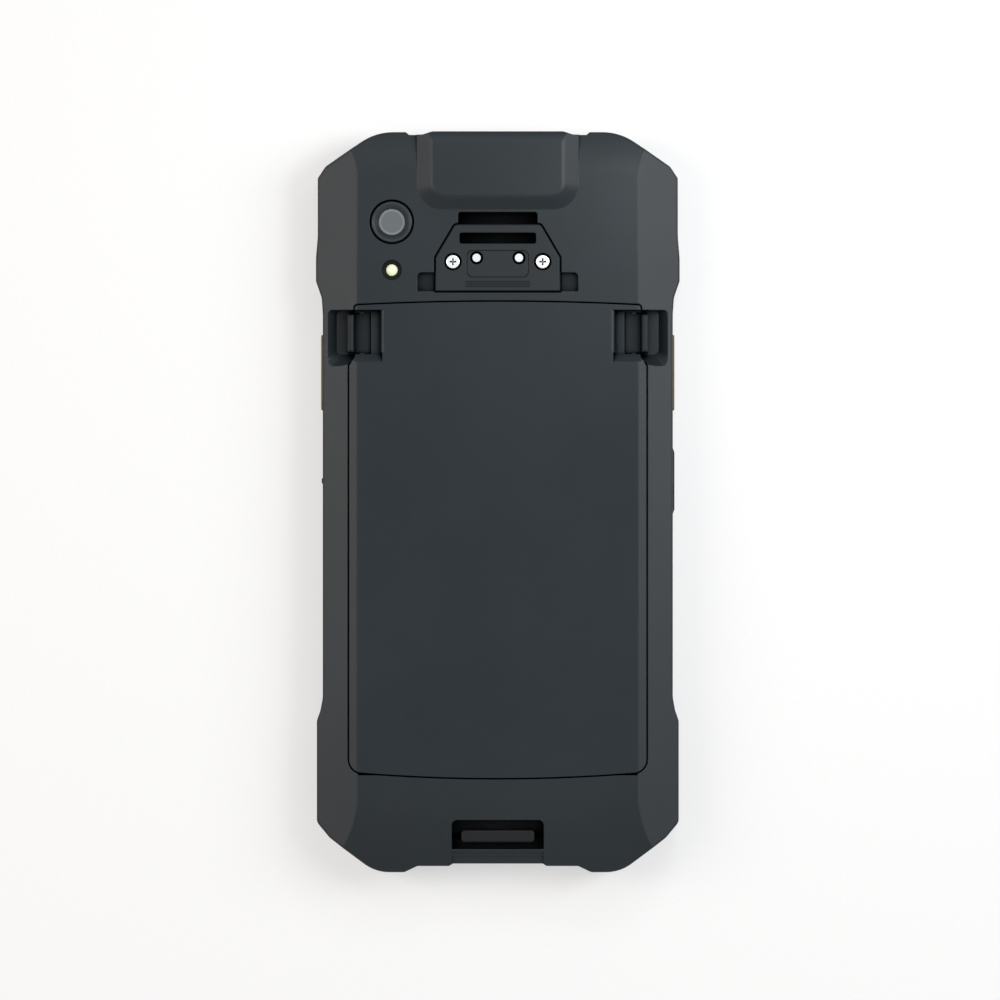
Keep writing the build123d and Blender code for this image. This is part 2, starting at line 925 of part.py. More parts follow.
with BuildPart() as rear_form:
    with BuildSketch(Plane.XY.offset(seam_z)):
        add(plain_sketch)
    extrude(amount=body_height - seam_z)
    extrude(outer_cross, amount=body_length, both=True, mode=Mode.INTERSECT)
    extrude(outer_long, amount=body_width, both=True, mode=Mode.INTERSECT)
    fillet(rear_form.edges().filter_by(on_rim), back_edge_round)

# The scanner bulge tapers from its foot on the back up to a rounded crest
with BuildSketch(Plane.YZ) as bulge_long:
    with BuildLine():
        Polyline(
            (top_y - bulge_crest_length - bulge_foot_slope - beyond, 0),
            (top_y - bulge_crest_length - bulge_foot_slope - beyond, crest_z),
            (top_y - bulge_end_length, crest_z),
        )
        TangentArc(
            (top_y - bulge_end_length, crest_z),
            (top_y, crest_z - bulge_end_drop),
            tangent=(1, 0),
        )
        Polyline((top_y, crest_z - bulge_end_drop), (top_y, 0))
        Line((top_y, 0), (top_y - bulge_crest_length - bulge_foot_slope - beyond, 0))
    make_face()

with BuildPart() as bulge_form:
    for level, side_spread, foot_spread, corner in (
        (
            body_height - bulge_root,
            bulge_side_slope + bulge_root_spread,
            bulge_foot_slope + bulge_root_spread,
            bulge_foot_radius,
        ),
        (body_height, bulge_side_slope, bulge_foot_slope, bulge_foot_radius),
        (crest_z, 0, 0, bulge_crest_radius),
    ):
        low_y = top_y - bulge_crest_length - foot_spread
        half = bulge_crest_half + side_spread
        with BuildSketch(Plane.XY.offset(level)) as bulge_section:
            with Locations((0, (low_y + top_y + beyond) / 2)):
                Rectangle(2 * half, top_y + beyond - low_y)
            fillet(bulge_section.vertices().group_by(Axis.Y)[0], corner)
    loft(ruled=True)
    fillet(bulge_form.faces().sort_by(Axis.Z)[-1].edges(), bulge_round)
    extrude(bulge_long.sketch, amount=body_width, both=True, mode=Mode.INTERSECT)

# Space inside the rear housing, one wall under the back surface
inner_cross = back_cross_section(tub_z, -rear_wall)
inner_long = back_long_section(tub_z, -rear_wall)

with BuildPart() as rear_hollow:
    with BuildSketch(Plane.XY.offset(seam_z)):
        add(lip_inside.sketch)
        with Locations((0, (hollow_low_y + hollow_high_y) / 2)):
            Rectangle(body_width, hollow_high_y - hollow_low_y, mode=Mode.SUBTRACT)
    extrude(amount=body_height - seam_z)
    extrude(inner_cross, amount=body_length, both=True, mode=Mode.INTERSECT)
    extrude(inner_long, amount=body_width, both=True, mode=Mode.INTERSECT)
    # Kept solid: the block under the accessory plate and the block round the tether recess
    with Locations((0, (hollow_high_y + well_top_y + block_wall) / 2, seam_z)):
        Box(
            2 * (plate_half + side_pocket_width + block_wall),
            well_top_y + block_wall - hollow_high_y,
            body_height,
            mode=Mode.SUBTRACT,
        )
    with Locations((0, tether_y, seam_z)):
        Box(
            2 * (tether_half + tether_pin_reach + block_wall),
            body_length,
            body_height,
            align=(Align.CENTER, Align.MAX, Align.CENTER),
            mode=Mode.SUBTRACT,
        )
    with Locations((0, tether_y, seam_z)):
        Box(
            2 * (tether_half + tether_pin_reach + block_wall),
            tether_length / 2 + block_wall,
            body_height,
            align=(Align.CENTER, Align.MIN, Align.CENTER),
            mode=Mode.SUBTRACT,
        )


def hook_sketch(x, gap, end_angle):
    """Ring sector about the tilt axis, on the plane across the pack at x."""
    first = hook_start_angle - math.degrees(gap / hook_inner_radius)
    with BuildSketch(Plane.YZ.offset(x)) as sector:
        with BuildLine():
            inner = CenterArc(
                (tilt_y, tilt_z), hook_inner_radius - gap, first, end_angle - first
            )
            outer = CenterArc(
                (tilt_y, tilt_z), hook_outer_radius + gap, first, end_angle - first
            )
            Line(inner @ 0, outer @ 0)
            Line(inner @ 1, outer @ 1)
        make_face()
    return sector.sketch


hook_pockets = [
    hook_sketch(sign * hook_spread / 2, hook_gap, hook_end_angle + tilt_limit + 4)
    for sign in side_signs()
]

# Finger pocket of the housing beside a latch: upright at the top, sloped on its outer side, and
# upright beside the latch at the foot, where it turns into a ramp towards the outer corner
with BuildPart() as finger_pocket:
    for level in (finger_pocket_z, crest_z):
        rise = level - finger_pocket_z
        right = finger_pocket_x + rise * finger_pocket_side_slope
        wall_y = latch_low_y - latch_end_gap - rise * finger_pocket_wall_slope
        ramp_y = latch_low_y - latch_end_gap - rise * finger_pocket_ramp_slope
        with BuildSketch(Plane.XY.offset(level)) as pocket_section:
            with BuildLine():
                Polyline(
                    (latch_face_x, wall_y),
                    (right, ramp_y),
                    (right, pocket_top_y),
                    (latch_face_x, pocket_top_y),
                    close=True,
                )
            make_face()
            fillet(pocket_section.vertices().group_by(Axis.X)[-1], finger_pocket_corner)
    loft()

with BuildPart() as rear_housing:
    add(rear_form.part)
    add(bulge_form.part)
    with BuildSketch(Plane.XY.offset(seam_z)):
        add(body_sketch)
    extrude(amount=crest_z - seam_z, mode=Mode.INTERSECT)
    add(rear_hollow.part, mode=Mode.SUBTRACT)
    # Bay tub that hangs between the side walls, and the lip that locates the front housing
    with BuildSketch(Plane.XY.offset(tub_z)):
        with Locations((0, (bay_foot_y + bay_top_y) / 2)):
            Rectangle(2 * (bay_half + bay_wall), bay_top_y - bay_foot_y + 2 * bay_wall)
    extrude(amount=seam_z - tub_z)
    with BuildSketch(Plane.XY.offset(seam_z - lip_height)):
        add(cavity_outline.sketch)
        offset(amount=-lip_gap, mode=Mode.REPLACE)
        add(lip_inside.sketch, mode=Mode.SUBTRACT)
    extrude(amount=lip_height)
    # Battery bay: room for the pack, and above it the ledge that the cover rests on
    with BuildSketch(Plane.XY.offset(bay_floor_z)):
        with Locations((0, (bay_foot_y + bay_top_y) / 2)):
            Rectangle(2 * bay_half, bay_top_y - bay_foot_y)
    extrude(amount=crest_z, mode=Mode.SUBTRACT)
    with BuildSketch(Plane.XY.offset(cover_ledge_z)):
        add(cover_outline.sketch)
        offset(amount=seam_gap / 2, mode=Mode.REPLACE)
    extrude(amount=crest_z, mode=Mode.SUBTRACT)
    for pocket in hook_pockets:
        extrude(pocket, amount=hook_width / 2 + hook_gap, both=True, mode=Mode.SUBTRACT)
    add(finger_pocket.part, mode=Mode.SUBTRACT)
    add(mirror(finger_pocket.part, about=Plane.YZ, mode=Mode.PRIVATE), mode=Mode.SUBTRACT)
    # Window for the battery connector in the bay floor, and the counterbored screw holes
    with Locations((0, connector_y, tub_z)):
        Box(
            connector_length + 2 * connector_gap,
            connector_width + 2 * connector_gap,
            2 * bay_floor_thickness + 1,
            mode=Mode.SUBTRACT,
        )
    with Locations(Plane.XY.offset(bay_floor_z)):
        with Locations(*housing_screw_places):
            CounterBoreHole(
                housing_screw_radius + screw_clearance,
                housing_head_radius + housing_counterbore_gap,
                housing_head_height + housing_head_sunk,
                depth=2 * bay_floor_thickness,
            )
    # Seat of the accessory plate, the strap well, the two side pockets and the screw holes
    with BuildSketch(Plane.XY.offset(plate_z)):
        add(plate_outline.sketch)
        offset(amount=plate_gap, mode=Mode.REPLACE)
    extrude(amount=crest_z, mode=Mode.SUBTRACT)
    with BuildSketch(Plane.XY.offset(well_z)) as well_section:
        with Locations((0, (well_foot_y + well_top_y) / 2)):
            Rectangle(2 * slot_half + 2 * plate_gap, well_top_y - well_foot_y)
        fillet(well_section.vertices(), well_corner)
    extrude(amount=crest_z, mode=Mode.SUBTRACT)
    with BuildSketch(Plane.XY.offset(body_height - side_pocket_depth)) as pocket_sketch:
        with Locations((0, plate_foot_y + side_pocket_length / 2)):
            Rectangle(2 * (plate_half + side_pocket_width), side_pocket_length)
        fillet(pocket_sketch.vertices().group_by(Axis.Y)[-1], side_pocket_corner)
    extrude(amount=crest_z, mode=Mode.SUBTRACT)
    with Locations(Plane.XY.offset(plate_z)):
        with Locations((-plate_screw_x, plate_screw_y), (plate_screw_x, plate_screw_y)):
            Hole(screw_radius + screw_hole_gap, depth=plate_screw_depth)
    # Seats of the camera ring and the flash lens
    with Locations((camera_x, camera_y, camera_seat_z - camera_boss_height)):
        Cylinder(
            camera_hole_radius + block_wall,
            camera_boss_height + rear_wall,
            align=(Align.CENTER, Align.CENTER, Align.MIN),
        )
    with Locations((camera_x, flash_y, camera_seat_z - camera_boss_height)):
        Cylinder(
            flash_recess_radius + block_wall,
            camera_boss_height + rear_wall,
            align=(Align.CENTER, Align.CENTER, Align.MIN),
        )
    with Locations((camera_x, camera_y, camera_seat_z)):
        Cylinder(
            camera_hole_radius,
            beyond,
            align=(Align.CENTER, Align.CENTER, Align.MIN),
            mode=Mode.SUBTRACT,
        )
        Cylinder(camera_barrel_room, beyond, mode=Mode.SUBTRACT)
    with Locations((camera_x, flash_y, body_height)):
        Cone(
            flash_lens_radius + flash_lens_gap,
            flash_recess_radius,
            flash_recess_depth,
            align=(Align.CENTER, Align.CENTER, Align.MAX),
            mode=Mode.SUBTRACT,
        )
        Cylinder(flash_lens_radius + flash_lens_gap, 2 * beyond, mode=Mode.SUBTRACT)
    # Scan window: an outer recess for the pane and the aperture behind it
    with Locations((0, top_y - window_sunk - window_thickness, window_z)):
        Box(
            2 * (window_half + window_gap),
            beyond,
            window_height + 2 * window_gap,
            align=(Align.CENTER, Align.MIN, Align.CENTER),
            mode=Mode.SUBTRACT,
        )
        Box(
            2 * (window_half - window_land),
            2 * beyond,
            window_height - 2 * window_land,
            mode=Mode.SUBTRACT,
        )
    with Locations((0, engine_y, seam_z)):
        Box(
            2 * (engine_half + engine_gap),
            engine_length + 2 * engine_gap,
            2 * (engine_top_z + engine_gap - seam_z),
            mode=Mode.SUBTRACT,
        )
    # Tether recess with the holes of its bar, and the scoop that leads a strap out over the foot
    with BuildSketch(Plane.XY.offset(tether_z)) as tether_section:
        with Locations((0, tether_y)):
            Rectangle(2 * tether_half, tether_length)
        fillet(tether_section.vertices().group_by(Axis.Y)[-1], tether_corner)
    extrude(amount=crest_z, mode=Mode.SUBTRACT)
    with BuildSketch(Plane.YZ):
        with Locations((tether_bar_y, tether_pin_z)):
            Circle(tether_pin_radius + tether_pin_gap)
    extrude(amount=tether_half + tether_pin_reach + tether_pin_gap, both=True, mode=Mode.SUBTRACT)
    with BuildSketch(Plane.YZ):
        with BuildLine():
            Polyline(
                (scoop_top_y, scoop_z),
                (scoop_foot_y, scoop_z - scoop_drop),
                (scoop_foot_y, scoop_low_z),
                (foot_y - beyond, scoop_low_z - scoop_fall * (scoop_foot_y - foot_y + beyond)),
                (foot_y - beyond, crest_z),
                (scoop_top_y, crest_z),
                close=True,
            )
        make_face()
    extrude(amount=tether_half, both=True, mode=Mode.SUBTRACT)
save(rear_housing, "rear_housing")

# ---------------------------------------------------------------------------------------------
# Seal and chassis
# ---------------------------------------------------------------------------------------------

with BuildPart() as housing_seal:
    with BuildSketch(Plane.XY.offset(seam_z - seal_depth)):
        add(cavity_outline.sketch)
        offset(amount=seal_inset + seal_width, mode=Mode.REPLACE)
        add(seal_inside.sketch, mode=Mode.SUBTRACT)
    extrude(amount=seal_depth)
save(housing_seal, "housing_seal")

frame_side_x = cavity_x - frame_key_inset
key_zone_low = lower_key_y - lower_key_length / 2 - key_flange - 2 * key_gap
key_zone_high = scan_key_y + scan_key_length / 2 + key_flange + 2 * key_gap

with BuildPart() as mid_frame:
    with BuildSketch(Plane.XY.offset(ledge_top_z)):
        add(cavity_outline.sketch)
        offset(amount=-frame_gap, mode=Mode.REPLACE)
        with Locations(
            (-frame_side_x - beyond, (key_zone_low + key_zone_high) / 2),
            (frame_side_x + beyond, (key_zone_low + key_zone_high) / 2),
        ):
            Rectangle(2 * beyond, key_zone_high - key_zone_low, mode=Mode.SUBTRACT)
        with Locations((power_key_x, power_flange_y - frame_key_inset + beyond)):
            Rectangle(
                power_key_length + 2 * key_flange + 4 * key_gap, 2 * beyond, mode=Mode.SUBTRACT
            )
    extrude(amount=frame_thickness)
    # Bosses that carry the bay tub and take the housing screws
    with Locations(*[(x, y, frame_top_z) for x, y in housing_screw_places]):
        Cylinder(
            housing_boss_radius,
            tub_z - frame_top_z,
            align=(Align.CENTER, Align.CENTER, Align.MIN),
        )
    with Locations(Plane.XY.offset(tub_z)):
        with Locations(*housing_screw_places):
            Hole(housing_screw_radius + screw_hole_gap, depth=housing_screw_reach)
    # Standoffs under the main board
    with Locations(*[(x, y, frame_top_z) for x, y in standoff_places]):
        Cylinder(
            standoff_radius,
            standoff_height,
            align=(Align.CENTER, Align.CENTER, Align.MIN),
        )
save(mid_frame, "mid_frame")

with BuildPart() as housing_screws:
    with Locations(*[(x, y, housing_head_z) for x, y in housing_screw_places]):
        Cylinder(
            housing_head_radius,
            housing_head_height,
            align=(Align.CENTER, Align.CENTER, Align.MAX),
        )
        Cylinder(
            housing_screw_radius,
            housing_head_z - tub_z + housing_screw_reach - screw_end_gap,
            align=(Align.CENTER, Align.CENTER, Align.MAX),
        )
    # Hexagonal drive
    with BuildSketch(Plane.XY.offset(housing_head_z)):
        with Locations(*housing_screw_places):
            RegularPolygon(drive_radius, 6)
    extrude(amount=-drive_depth, mode=Mode.SUBTRACT)
save(housing_screws, "housing_screws")

# ---------------------------------------------------------------------------------------------
# Display side: touch glass, its adhesive frame, display panel, earpiece mesh, front camera
# ---------------------------------------------------------------------------------------------

with BuildPart() as touch_glass:
    with BuildSketch(Plane.XY.offset(lip_proud)):
        RectangleRounded(glass_width, glass_length, glass_radius)
    extrude(amount=glass_thickness)
    chamfer(touch_glass.faces().sort_by(Axis.Z)[0].edges(), glass_bevel)
    with BuildSketch(Plane.XY.offset(lip_proud)):
        with Locations((0, receiver_y)):
            SlotOverall(receiver_slot_length, receiver_slot_width)
    extrude(amount=glass_thickness, mode=Mode.SUBTRACT)
save(touch_glass, "touch_glass")

with BuildPart() as receiver_mesh:
    with BuildSketch(Plane.XY.offset(lip_proud + receiver_mesh_sunk)):
        with Locations((0, receiver_y)):
            SlotOverall(receiver_slot_length - key_flange_gap, receiver_slot_width - key_flange_gap)
    extrude(amount=glass_thickness - receiver_mesh_sunk)
save(receiver_mesh, "receiver_mesh")

with BuildPart() as receiver:
    with BuildSketch(Plane.XY.offset(glass_back_z)):
        with Locations((0, receiver_y)):
            RectangleRounded(receiver_slot_length, receiver_width, receiver_corner)
    extrude(amount=ledge_top_z - glass_back_z)
save(receiver, "receiver")

with BuildPart() as glass_adhesive:
    with BuildSketch(Plane.XY.offset(glass_back_z)):
        RectangleRounded(
            glass_width - 2 * adhesive_inset, glass_length - 2 * adhesive_inset, glass_radius
        )
        Rectangle(
            display_width + 2 * display_gap, display_length + 2 * display_gap, mode=Mode.SUBTRACT
        )
        with Locations((0, receiver_y)):
            RectangleRounded(
                receiver_slot_length + 2 * receiver_gap,
                receiver_width + 2 * receiver_gap,
                receiver_corner + receiver_gap,
                mode=Mode.SUBTRACT,
            )
        with Locations((front_camera_x, receiver_y)):
            Circle(front_camera_radius + front_camera_gap, mode=Mode.SUBTRACT)
    extrude(amount=tape_thickness)
save(glass_adhesive, "glass_adhesive")

with BuildPart() as display_panel:
    with BuildSketch(Plane.XY.offset(glass_back_z)):
        Rectangle(display_width, display_length)
    extrude(amount=display_thickness)
save(display_panel, "display_panel")

with BuildPart() as front_camera:
    with Locations((front_camera_x, receiver_y, glass_back_z)):
        Cylinder(
            front_camera_radius,
            ledge_top_z - glass_back_z,
            align=(Align.CENTER, Align.CENTER, Align.MIN),
        )
        Cone(
            front_camera_hood_radius,
            front_camera_lens_radius,
            front_camera_hood_depth,
            align=(Align.CENTER, Align.CENTER, Align.MIN),
            mode=Mode.SUBTRACT,
        )
save(front_camera, "front_camera")

# ---------------------------------------------------------------------------------------------
# Electronics on the chassis
# ---------------------------------------------------------------------------------------------

usb_half = usb_width / 2

with BuildPart() as main_board:
    with BuildSketch(Plane.XY.offset(board_z)):
        with Locations((0, (board_top_y + board_foot_y) / 2)):
            Rectangle(2 * board_half, board_top_y - board_foot_y)
        # Two ears that reach down beside the cable socket
        for sign in side_signs():
            with Locations((sign * (usb_half + usb_gap + board_ear / 2), board_foot_y)):
                Rectangle(board_ear, 2 * board_ear_reach)
    extrude(amount=board_thickness)
save(main_board, "main_board")

with BuildPart() as shield_cans:
    for low_x, low_y, high_x, high_y in shield_can_places:
        with BuildSketch(Plane.XY.offset(board_top_z)):
            with Locations(((low_x + high_x) / 2, (low_y + high_y) / 2)):
                RectangleRounded(high_x - low_x, high_y - low_y, can_corner)
        extrude(amount=can_height)
    chamfer(shield_cans.faces().group_by(Axis.Z)[-1].edges(), can_bevel)
save(shield_cans, "shield_cans")

with BuildPart() as battery_connector:
    with Locations((0, connector_y, board_top_z)):
        Box(
            connector_length,
            connector_width,
            bay_floor_z - board_top_z,
            align=(Align.CENTER, Align.CENTER, Align.MIN),
        )
    with BuildSketch(Plane.XY.offset(bay_floor_z)):
        with Locations((0, connector_y)):
            with GridLocations(terminal_pitch, 1, terminal_count, 1):
                Rectangle(terminal_width, connector_width - 2 * terminal_slot_end)
    extrude(amount=-terminal_slot_depth, mode=Mode.SUBTRACT)
save(battery_connector, "battery_connector")

# Contact springs of the connector: rounded bows that stand in its slots and end under the pads
bow_half = connector_width / 2 - terminal_slot_end - terminal_gap
bow_base_z = bay_floor_z - terminal_slot_depth

with BuildSketch(Plane.YZ) as bow:
    with BuildLine():
        ThreePointArc(
            (connector_y - bow_half, bow_base_z),
            (connector_y, pack_z - pad_contact_gap),
            (connector_y + bow_half, bow_base_z),
        )
        Line((connector_y + bow_half, bow_base_z), (connector_y - bow_half, bow_base_z))
    make_face()

with BuildPart() as connector_springs:
    for place in range(terminal_count):
        x = (place - (terminal_count - 1) / 2) * terminal_pitch
        strip = bow.sketch.moved(Location((x, 0, 0)))
        extrude(strip, amount=terminal_width / 2 - terminal_gap, both=True)
save(connector_springs, "connector_springs")

with BuildPart() as scan_bracket:
    with BuildSketch(Plane.XZ.offset(-(engine_y + engine_length / 2))):
        with BuildLine():
            leg_x = engine_half + bracket_sheet
            Polyline(
                (-leg_x - bracket_foot, frame_top_z),
                (-leg_x - bracket_foot, frame_top_z + bracket_sheet),
                (-leg_x, frame_top_z + bracket_sheet),
                (-leg_x, bracket_top_z),
                (leg_x, bracket_top_z),
                (leg_x, frame_top_z + bracket_sheet),
                (leg_x + bracket_foot, frame_top_z + bracket_sheet),
                (leg_x + bracket_foot, frame_top_z),
                (leg_x - bracket_sheet, frame_top_z),
                (leg_x - bracket_sheet, bracket_top_z - bracket_sheet),
                (-leg_x + bracket_sheet, bracket_top_z - bracket_sheet),
                (-leg_x + bracket_sheet, frame_top_z),
                close=True,
            )
        make_face()
    extrude(amount=engine_length)
save(scan_bracket, "scan_bracket")

with BuildPart() as scan_engine:
    with Locations((0, engine_y, engine_z)):
        Box(
            2 * engine_half,
            engine_length,
            engine_height,
            align=(Align.CENTER, Align.CENTER, Align.MIN),
        )
    fillet(scan_engine.edges().filter_by(Axis.Y), engine_round)
    # Bore of the imaging lens, and the aimer and lamp windows beside it
    with BuildSketch(Plane.XZ.offset(-engine_front_y)):
        with Locations((0, window_z)):
            Circle(engine_lens_radius + engine_lens_land)
    extrude(amount=engine_bore_depth, mode=Mode.SUBTRACT)
    with BuildSketch(Plane.XZ.offset(-engine_front_y)):
        with Locations((-engine_lamp_x, window_z), (engine_lamp_x, window_z)):
            RectangleRounded(engine_lamp_width, engine_lamp_height, engine_lamp_corner)
    extrude(amount=engine_lamp_depth, mode=Mode.SUBTRACT)
save(scan_engine, "scan_engine")

lens_back = engine_front_y - engine_bore_depth
lens_rim = lens_back + engine_lens_rim

with BuildPart() as scan_lens:
    with BuildSketch(Plane.YZ):
        with BuildLine():
            Polyline(
                (lens_rim + engine_lens_dome, window_z),
                (lens_back, window_z),
                (lens_back, window_z + engine_lens_radius),
                (lens_rim, window_z + engine_lens_radius),
            )
            TangentArc(
                (lens_rim + engine_lens_dome, window_z),
                (lens_rim, window_z + engine_lens_radius),
                tangent=(0, 1),
            )
        make_face()
    revolve(axis=Axis((0, 0, window_z), (0, 1, 0)))
save(scan_lens, "scan_lens")

with BuildPart() as scan_window:
    with Locations((0, top_y - window_sunk, window_z)):
        Box(
            2 * window_half,
            window_thickness,
            window_height,
            align=(Align.CENTER, Align.MAX, Align.CENTER),
        )
    fillet(scan_window.edges().filter_by(Axis.Y), window_corner)
save(scan_window, "scan_window")

with BuildPart() as usb_port:
    # Drawn shell, closed at the back, with the contact tongue inside
    with BuildSketch(Plane.XZ.offset(-usb_face_y)):
        with Locations((0, usb_z)):
            SlotOverall(usb_width, usb_height)
    extrude(amount=-usb_depth)
    with BuildSketch(Plane.XZ.offset(-usb_face_y)):
        with Locations((0, usb_z)):
            SlotOverall(usb_width - 2 * usb_shell, usb_height - 2 * usb_shell)
            Rectangle(usb_tongue_width, usb_tongue_height, mode=Mode.SUBTRACT)
    extrude(amount=-(usb_depth - usb_back), mode=Mode.SUBTRACT)
    with BuildSketch(Plane.XZ.offset(-usb_face_y)):
        with Locations((0, usb_z)):
            Rectangle(usb_tongue_width, usb_tongue_height)
    extrude(amount=-usb_tongue_sunk, mode=Mode.SUBTRACT)
save(usb_port, "usb_port")

with BuildPart() as dock_contacts:
    with Locations(
        (-dock_contact_x, foot_floor_y + dock_contact_sunk, usb_z),
        (dock_contact_x, foot_floor_y + dock_contact_sunk, usb_z),
    ):
        Box(
            dock_contact_width - 2 * dock_contact_gap,
            cavity_foot - foot_floor_y - dock_contact_sunk + dock_contact_back,
            dock_contact_height - 2 * dock_contact_gap,
            align=(Align.CENTER, Align.MIN, Align.CENTER),
        )
save(dock_contacts, "dock_contacts")

with BuildPart() as speaker:
    with Locations((sound_hole_x, cavity_foot + speaker_gap, frame_top_z)):
        Box(
            speaker_width,
            speaker_length,
            speaker_height,
            align=(Align.CENTER, Align.MIN, Align.MIN),
        )
    fillet(speaker.edges().filter_by(Axis.Z), speaker_corner)
save(speaker, "speaker")

with BuildPart() as vibration_motor:
    with Locations((-sound_hole_x, cavity_foot + motor_radius + motor_gap, frame_top_z)):
        Cylinder(motor_radius, motor_height, align=(Align.CENTER, Align.CENTER, Align.MIN))
    chamfer(vibration_motor.faces().sort_by(Axis.Z)[-1].edges(), motor_bevel)
save(vibration_motor, "vibration_motor")

# ---------------------------------------------------------------------------------------------
# Camera and flash
# ---------------------------------------------------------------------------------------------

camera_inner_edge = camera_window_radius + camera_window_gap
camera_window_back_z = camera_window_z - camera_window_thickness
barrel_top_z = camera_window_back_z - camera_barrel_gap

with BuildPart() as camera_ring:
    with BuildSketch(Plane.XZ.offset(-camera_y)):
        with BuildLine():
            Polyline(
                (camera_x + camera_throat_radius, camera_seat_z),
                (camera_x + camera_ring_radius, camera_seat_z),
                (camera_x + camera_ring_radius, body_height - camera_ring_bevel),
                (camera_x + camera_ring_radius - camera_ring_bevel, body_height),
                (camera_x + camera_ring_radius - camera_ring_land, body_height),
                (camera_x + camera_inner_edge, camera_window_z + camera_ring_lip),
                (camera_x + camera_inner_edge, camera_window_back_z),
                (camera_x + camera_throat_radius, camera_window_back_z),
                close=True,
            )
        make_face()
    revolve(axis=Axis((camera_x, camera_y, 0), (0, 0, 1)))
save(camera_ring, "camera_ring")

with BuildPart() as camera_window:
    with Locations((camera_x, camera_y, camera_window_z)):
        Cylinder(
            camera_window_radius,
            camera_window_thickness,
            align=(Align.CENTER, Align.CENTER, Align.MAX),
        )
save(camera_window, "camera_window")

with BuildPart() as camera_module:
    with Locations((camera_x, camera_y, camera_module_z)):
        Box(
            camera_body,
            camera_body,
            camera_body_height,
            align=(Align.CENTER, Align.CENTER, Align.MIN),
        )
        fillet(camera_module.edges().filter_by(Axis.Z), camera_body_corner)
        Cylinder(
            camera_barrel_room - camera_barrel_gap,
            camera_seat_z - camera_module_z - camera_barrel_gap,
            align=(Align.CENTER, Align.CENTER, Align.MIN),
        )
        Cylinder(
            camera_barrel_radius,
            barrel_top_z - camera_module_z,
            align=(Align.CENTER, Align.CENTER, Align.MIN),
        )
    with Locations((camera_x, camera_y, barrel_top_z)):
        Cone(
            camera_lens_radius,
            camera_hood_radius,
            camera_hood_depth,
            align=(Align.CENTER, Align.CENTER, Align.MAX),
            mode=Mode.SUBTRACT,
        )
save(camera_module, "camera_module")

lens_top_z = body_height - flash_recess_depth

with BuildPart() as flash_lens:
    # Light guide with a domed top, standing on the lamp below it
    with BuildSketch(Plane.XZ.offset(-flash_y)):
        with BuildLine():
            Polyline(
                (camera_x, lens_top_z + flash_dome),
                (camera_x, flash_lamp_z),
                (camera_x + flash_lens_radius, flash_lamp_z),
                (camera_x + flash_lens_radius, lens_top_z),
            )
            TangentArc(
                (camera_x, lens_top_z + flash_dome),
                (camera_x + flash_lens_radius, lens_top_z),
                tangent=(1, 0),
            )
        make_face()
    revolve(axis=Axis((camera_x, flash_y, 0), (0, 0, 1)))
save(flash_lens, "flash_lens")

with BuildPart() as flash_lamp:
    with Locations((camera_x, flash_y, flash_lamp_z)):
        Box(
            flash_lamp_size,
            flash_lamp_size,
            flash_lamp_z - board_top_z,
            align=(Align.CENTER, Align.CENTER, Align.MAX),
        )
save(flash_lamp, "flash_lamp")

# ---------------------------------------------------------------------------------------------
# Accessory plate, its screws and the contact insert
# ---------------------------------------------------------------------------------------------

with BuildPart() as strap_plate:
    with BuildSketch(Plane.XY.offset(plate_z)):
        add(plate_outline.sketch)
    extrude(amount=plate_thickness)
    chamfer(strap_plate.faces().sort_by(Axis.Z)[-1].edges(), plate_edge_bevel)
    # Slot between the strap bar and the body of the plate
    with BuildSketch(Plane.XY.offset(plate_z)):
        with Locations((0, well_foot_y + slot_width / 2)):
            RectangleRounded(2 * slot_half, slot_width, slot_corner)
    extrude(amount=plate_thickness, mode=Mode.SUBTRACT)
    with Locations(Plane.XY.offset(plate_top_z)):
        with Locations((-plate_screw_x, plate_screw_y), (plate_screw_x, plate_screw_y)):
            CounterBoreHole(
                screw_radius + screw_clearance,
                plate_counterbore_radius,
                plate_counterbore_depth,
                depth=2 * plate_thickness,
            )
    with BuildSketch(Plane.XY.offset(plate_z)):
        with Locations((0, insert_y)):
            RectangleRounded(
                2 * (insert_half + insert_gap), insert_length + 2 * insert_gap, insert_corner
            )
    extrude(amount=plate_thickness, mode=Mode.SUBTRACT)
    # Fine grip lines along the lower edge
    with BuildSketch(Plane.XY.offset(plate_top_z)):
        with Locations((0, plate_foot_y + insert_low / 2)):
            with GridLocations(1, groove_pitch, 1, groove_count):
                Rectangle(groove_length, groove_width)
    extrude(amount=-groove_depth, mode=Mode.SUBTRACT)
save(strap_plate, "strap_plate")

with BuildPart() as plate_screws:
    head_z = plate_top_z - plate_counterbore_depth
    with Locations((-plate_screw_x, plate_screw_y, head_z), (plate_screw_x, plate_screw_y, head_z)):
        Cylinder(
            plate_head_radius,
            plate_head_height,
            align=(Align.CENTER, Align.CENTER, Align.MIN),
        )
        Cylinder(
            screw_radius,
            head_z - plate_z + plate_screw_depth - screw_end_gap,
            align=(Align.CENTER, Align.CENTER, Align.MAX),
        )
    fillet(plate_screws.faces().group_by(Axis.Z)[-1].edges(), plate_head_round)
    # Cross recess
    with BuildSketch(Plane.XY.offset(head_z + plate_head_height)):
        with Locations((-plate_screw_x, plate_screw_y), (plate_screw_x, plate_screw_y)):
            Rectangle(cross_length, cross_width)
            Rectangle(cross_width, cross_length)
    extrude(amount=-cross_depth, mode=Mode.SUBTRACT)
save(plate_screws, "plate_screws")

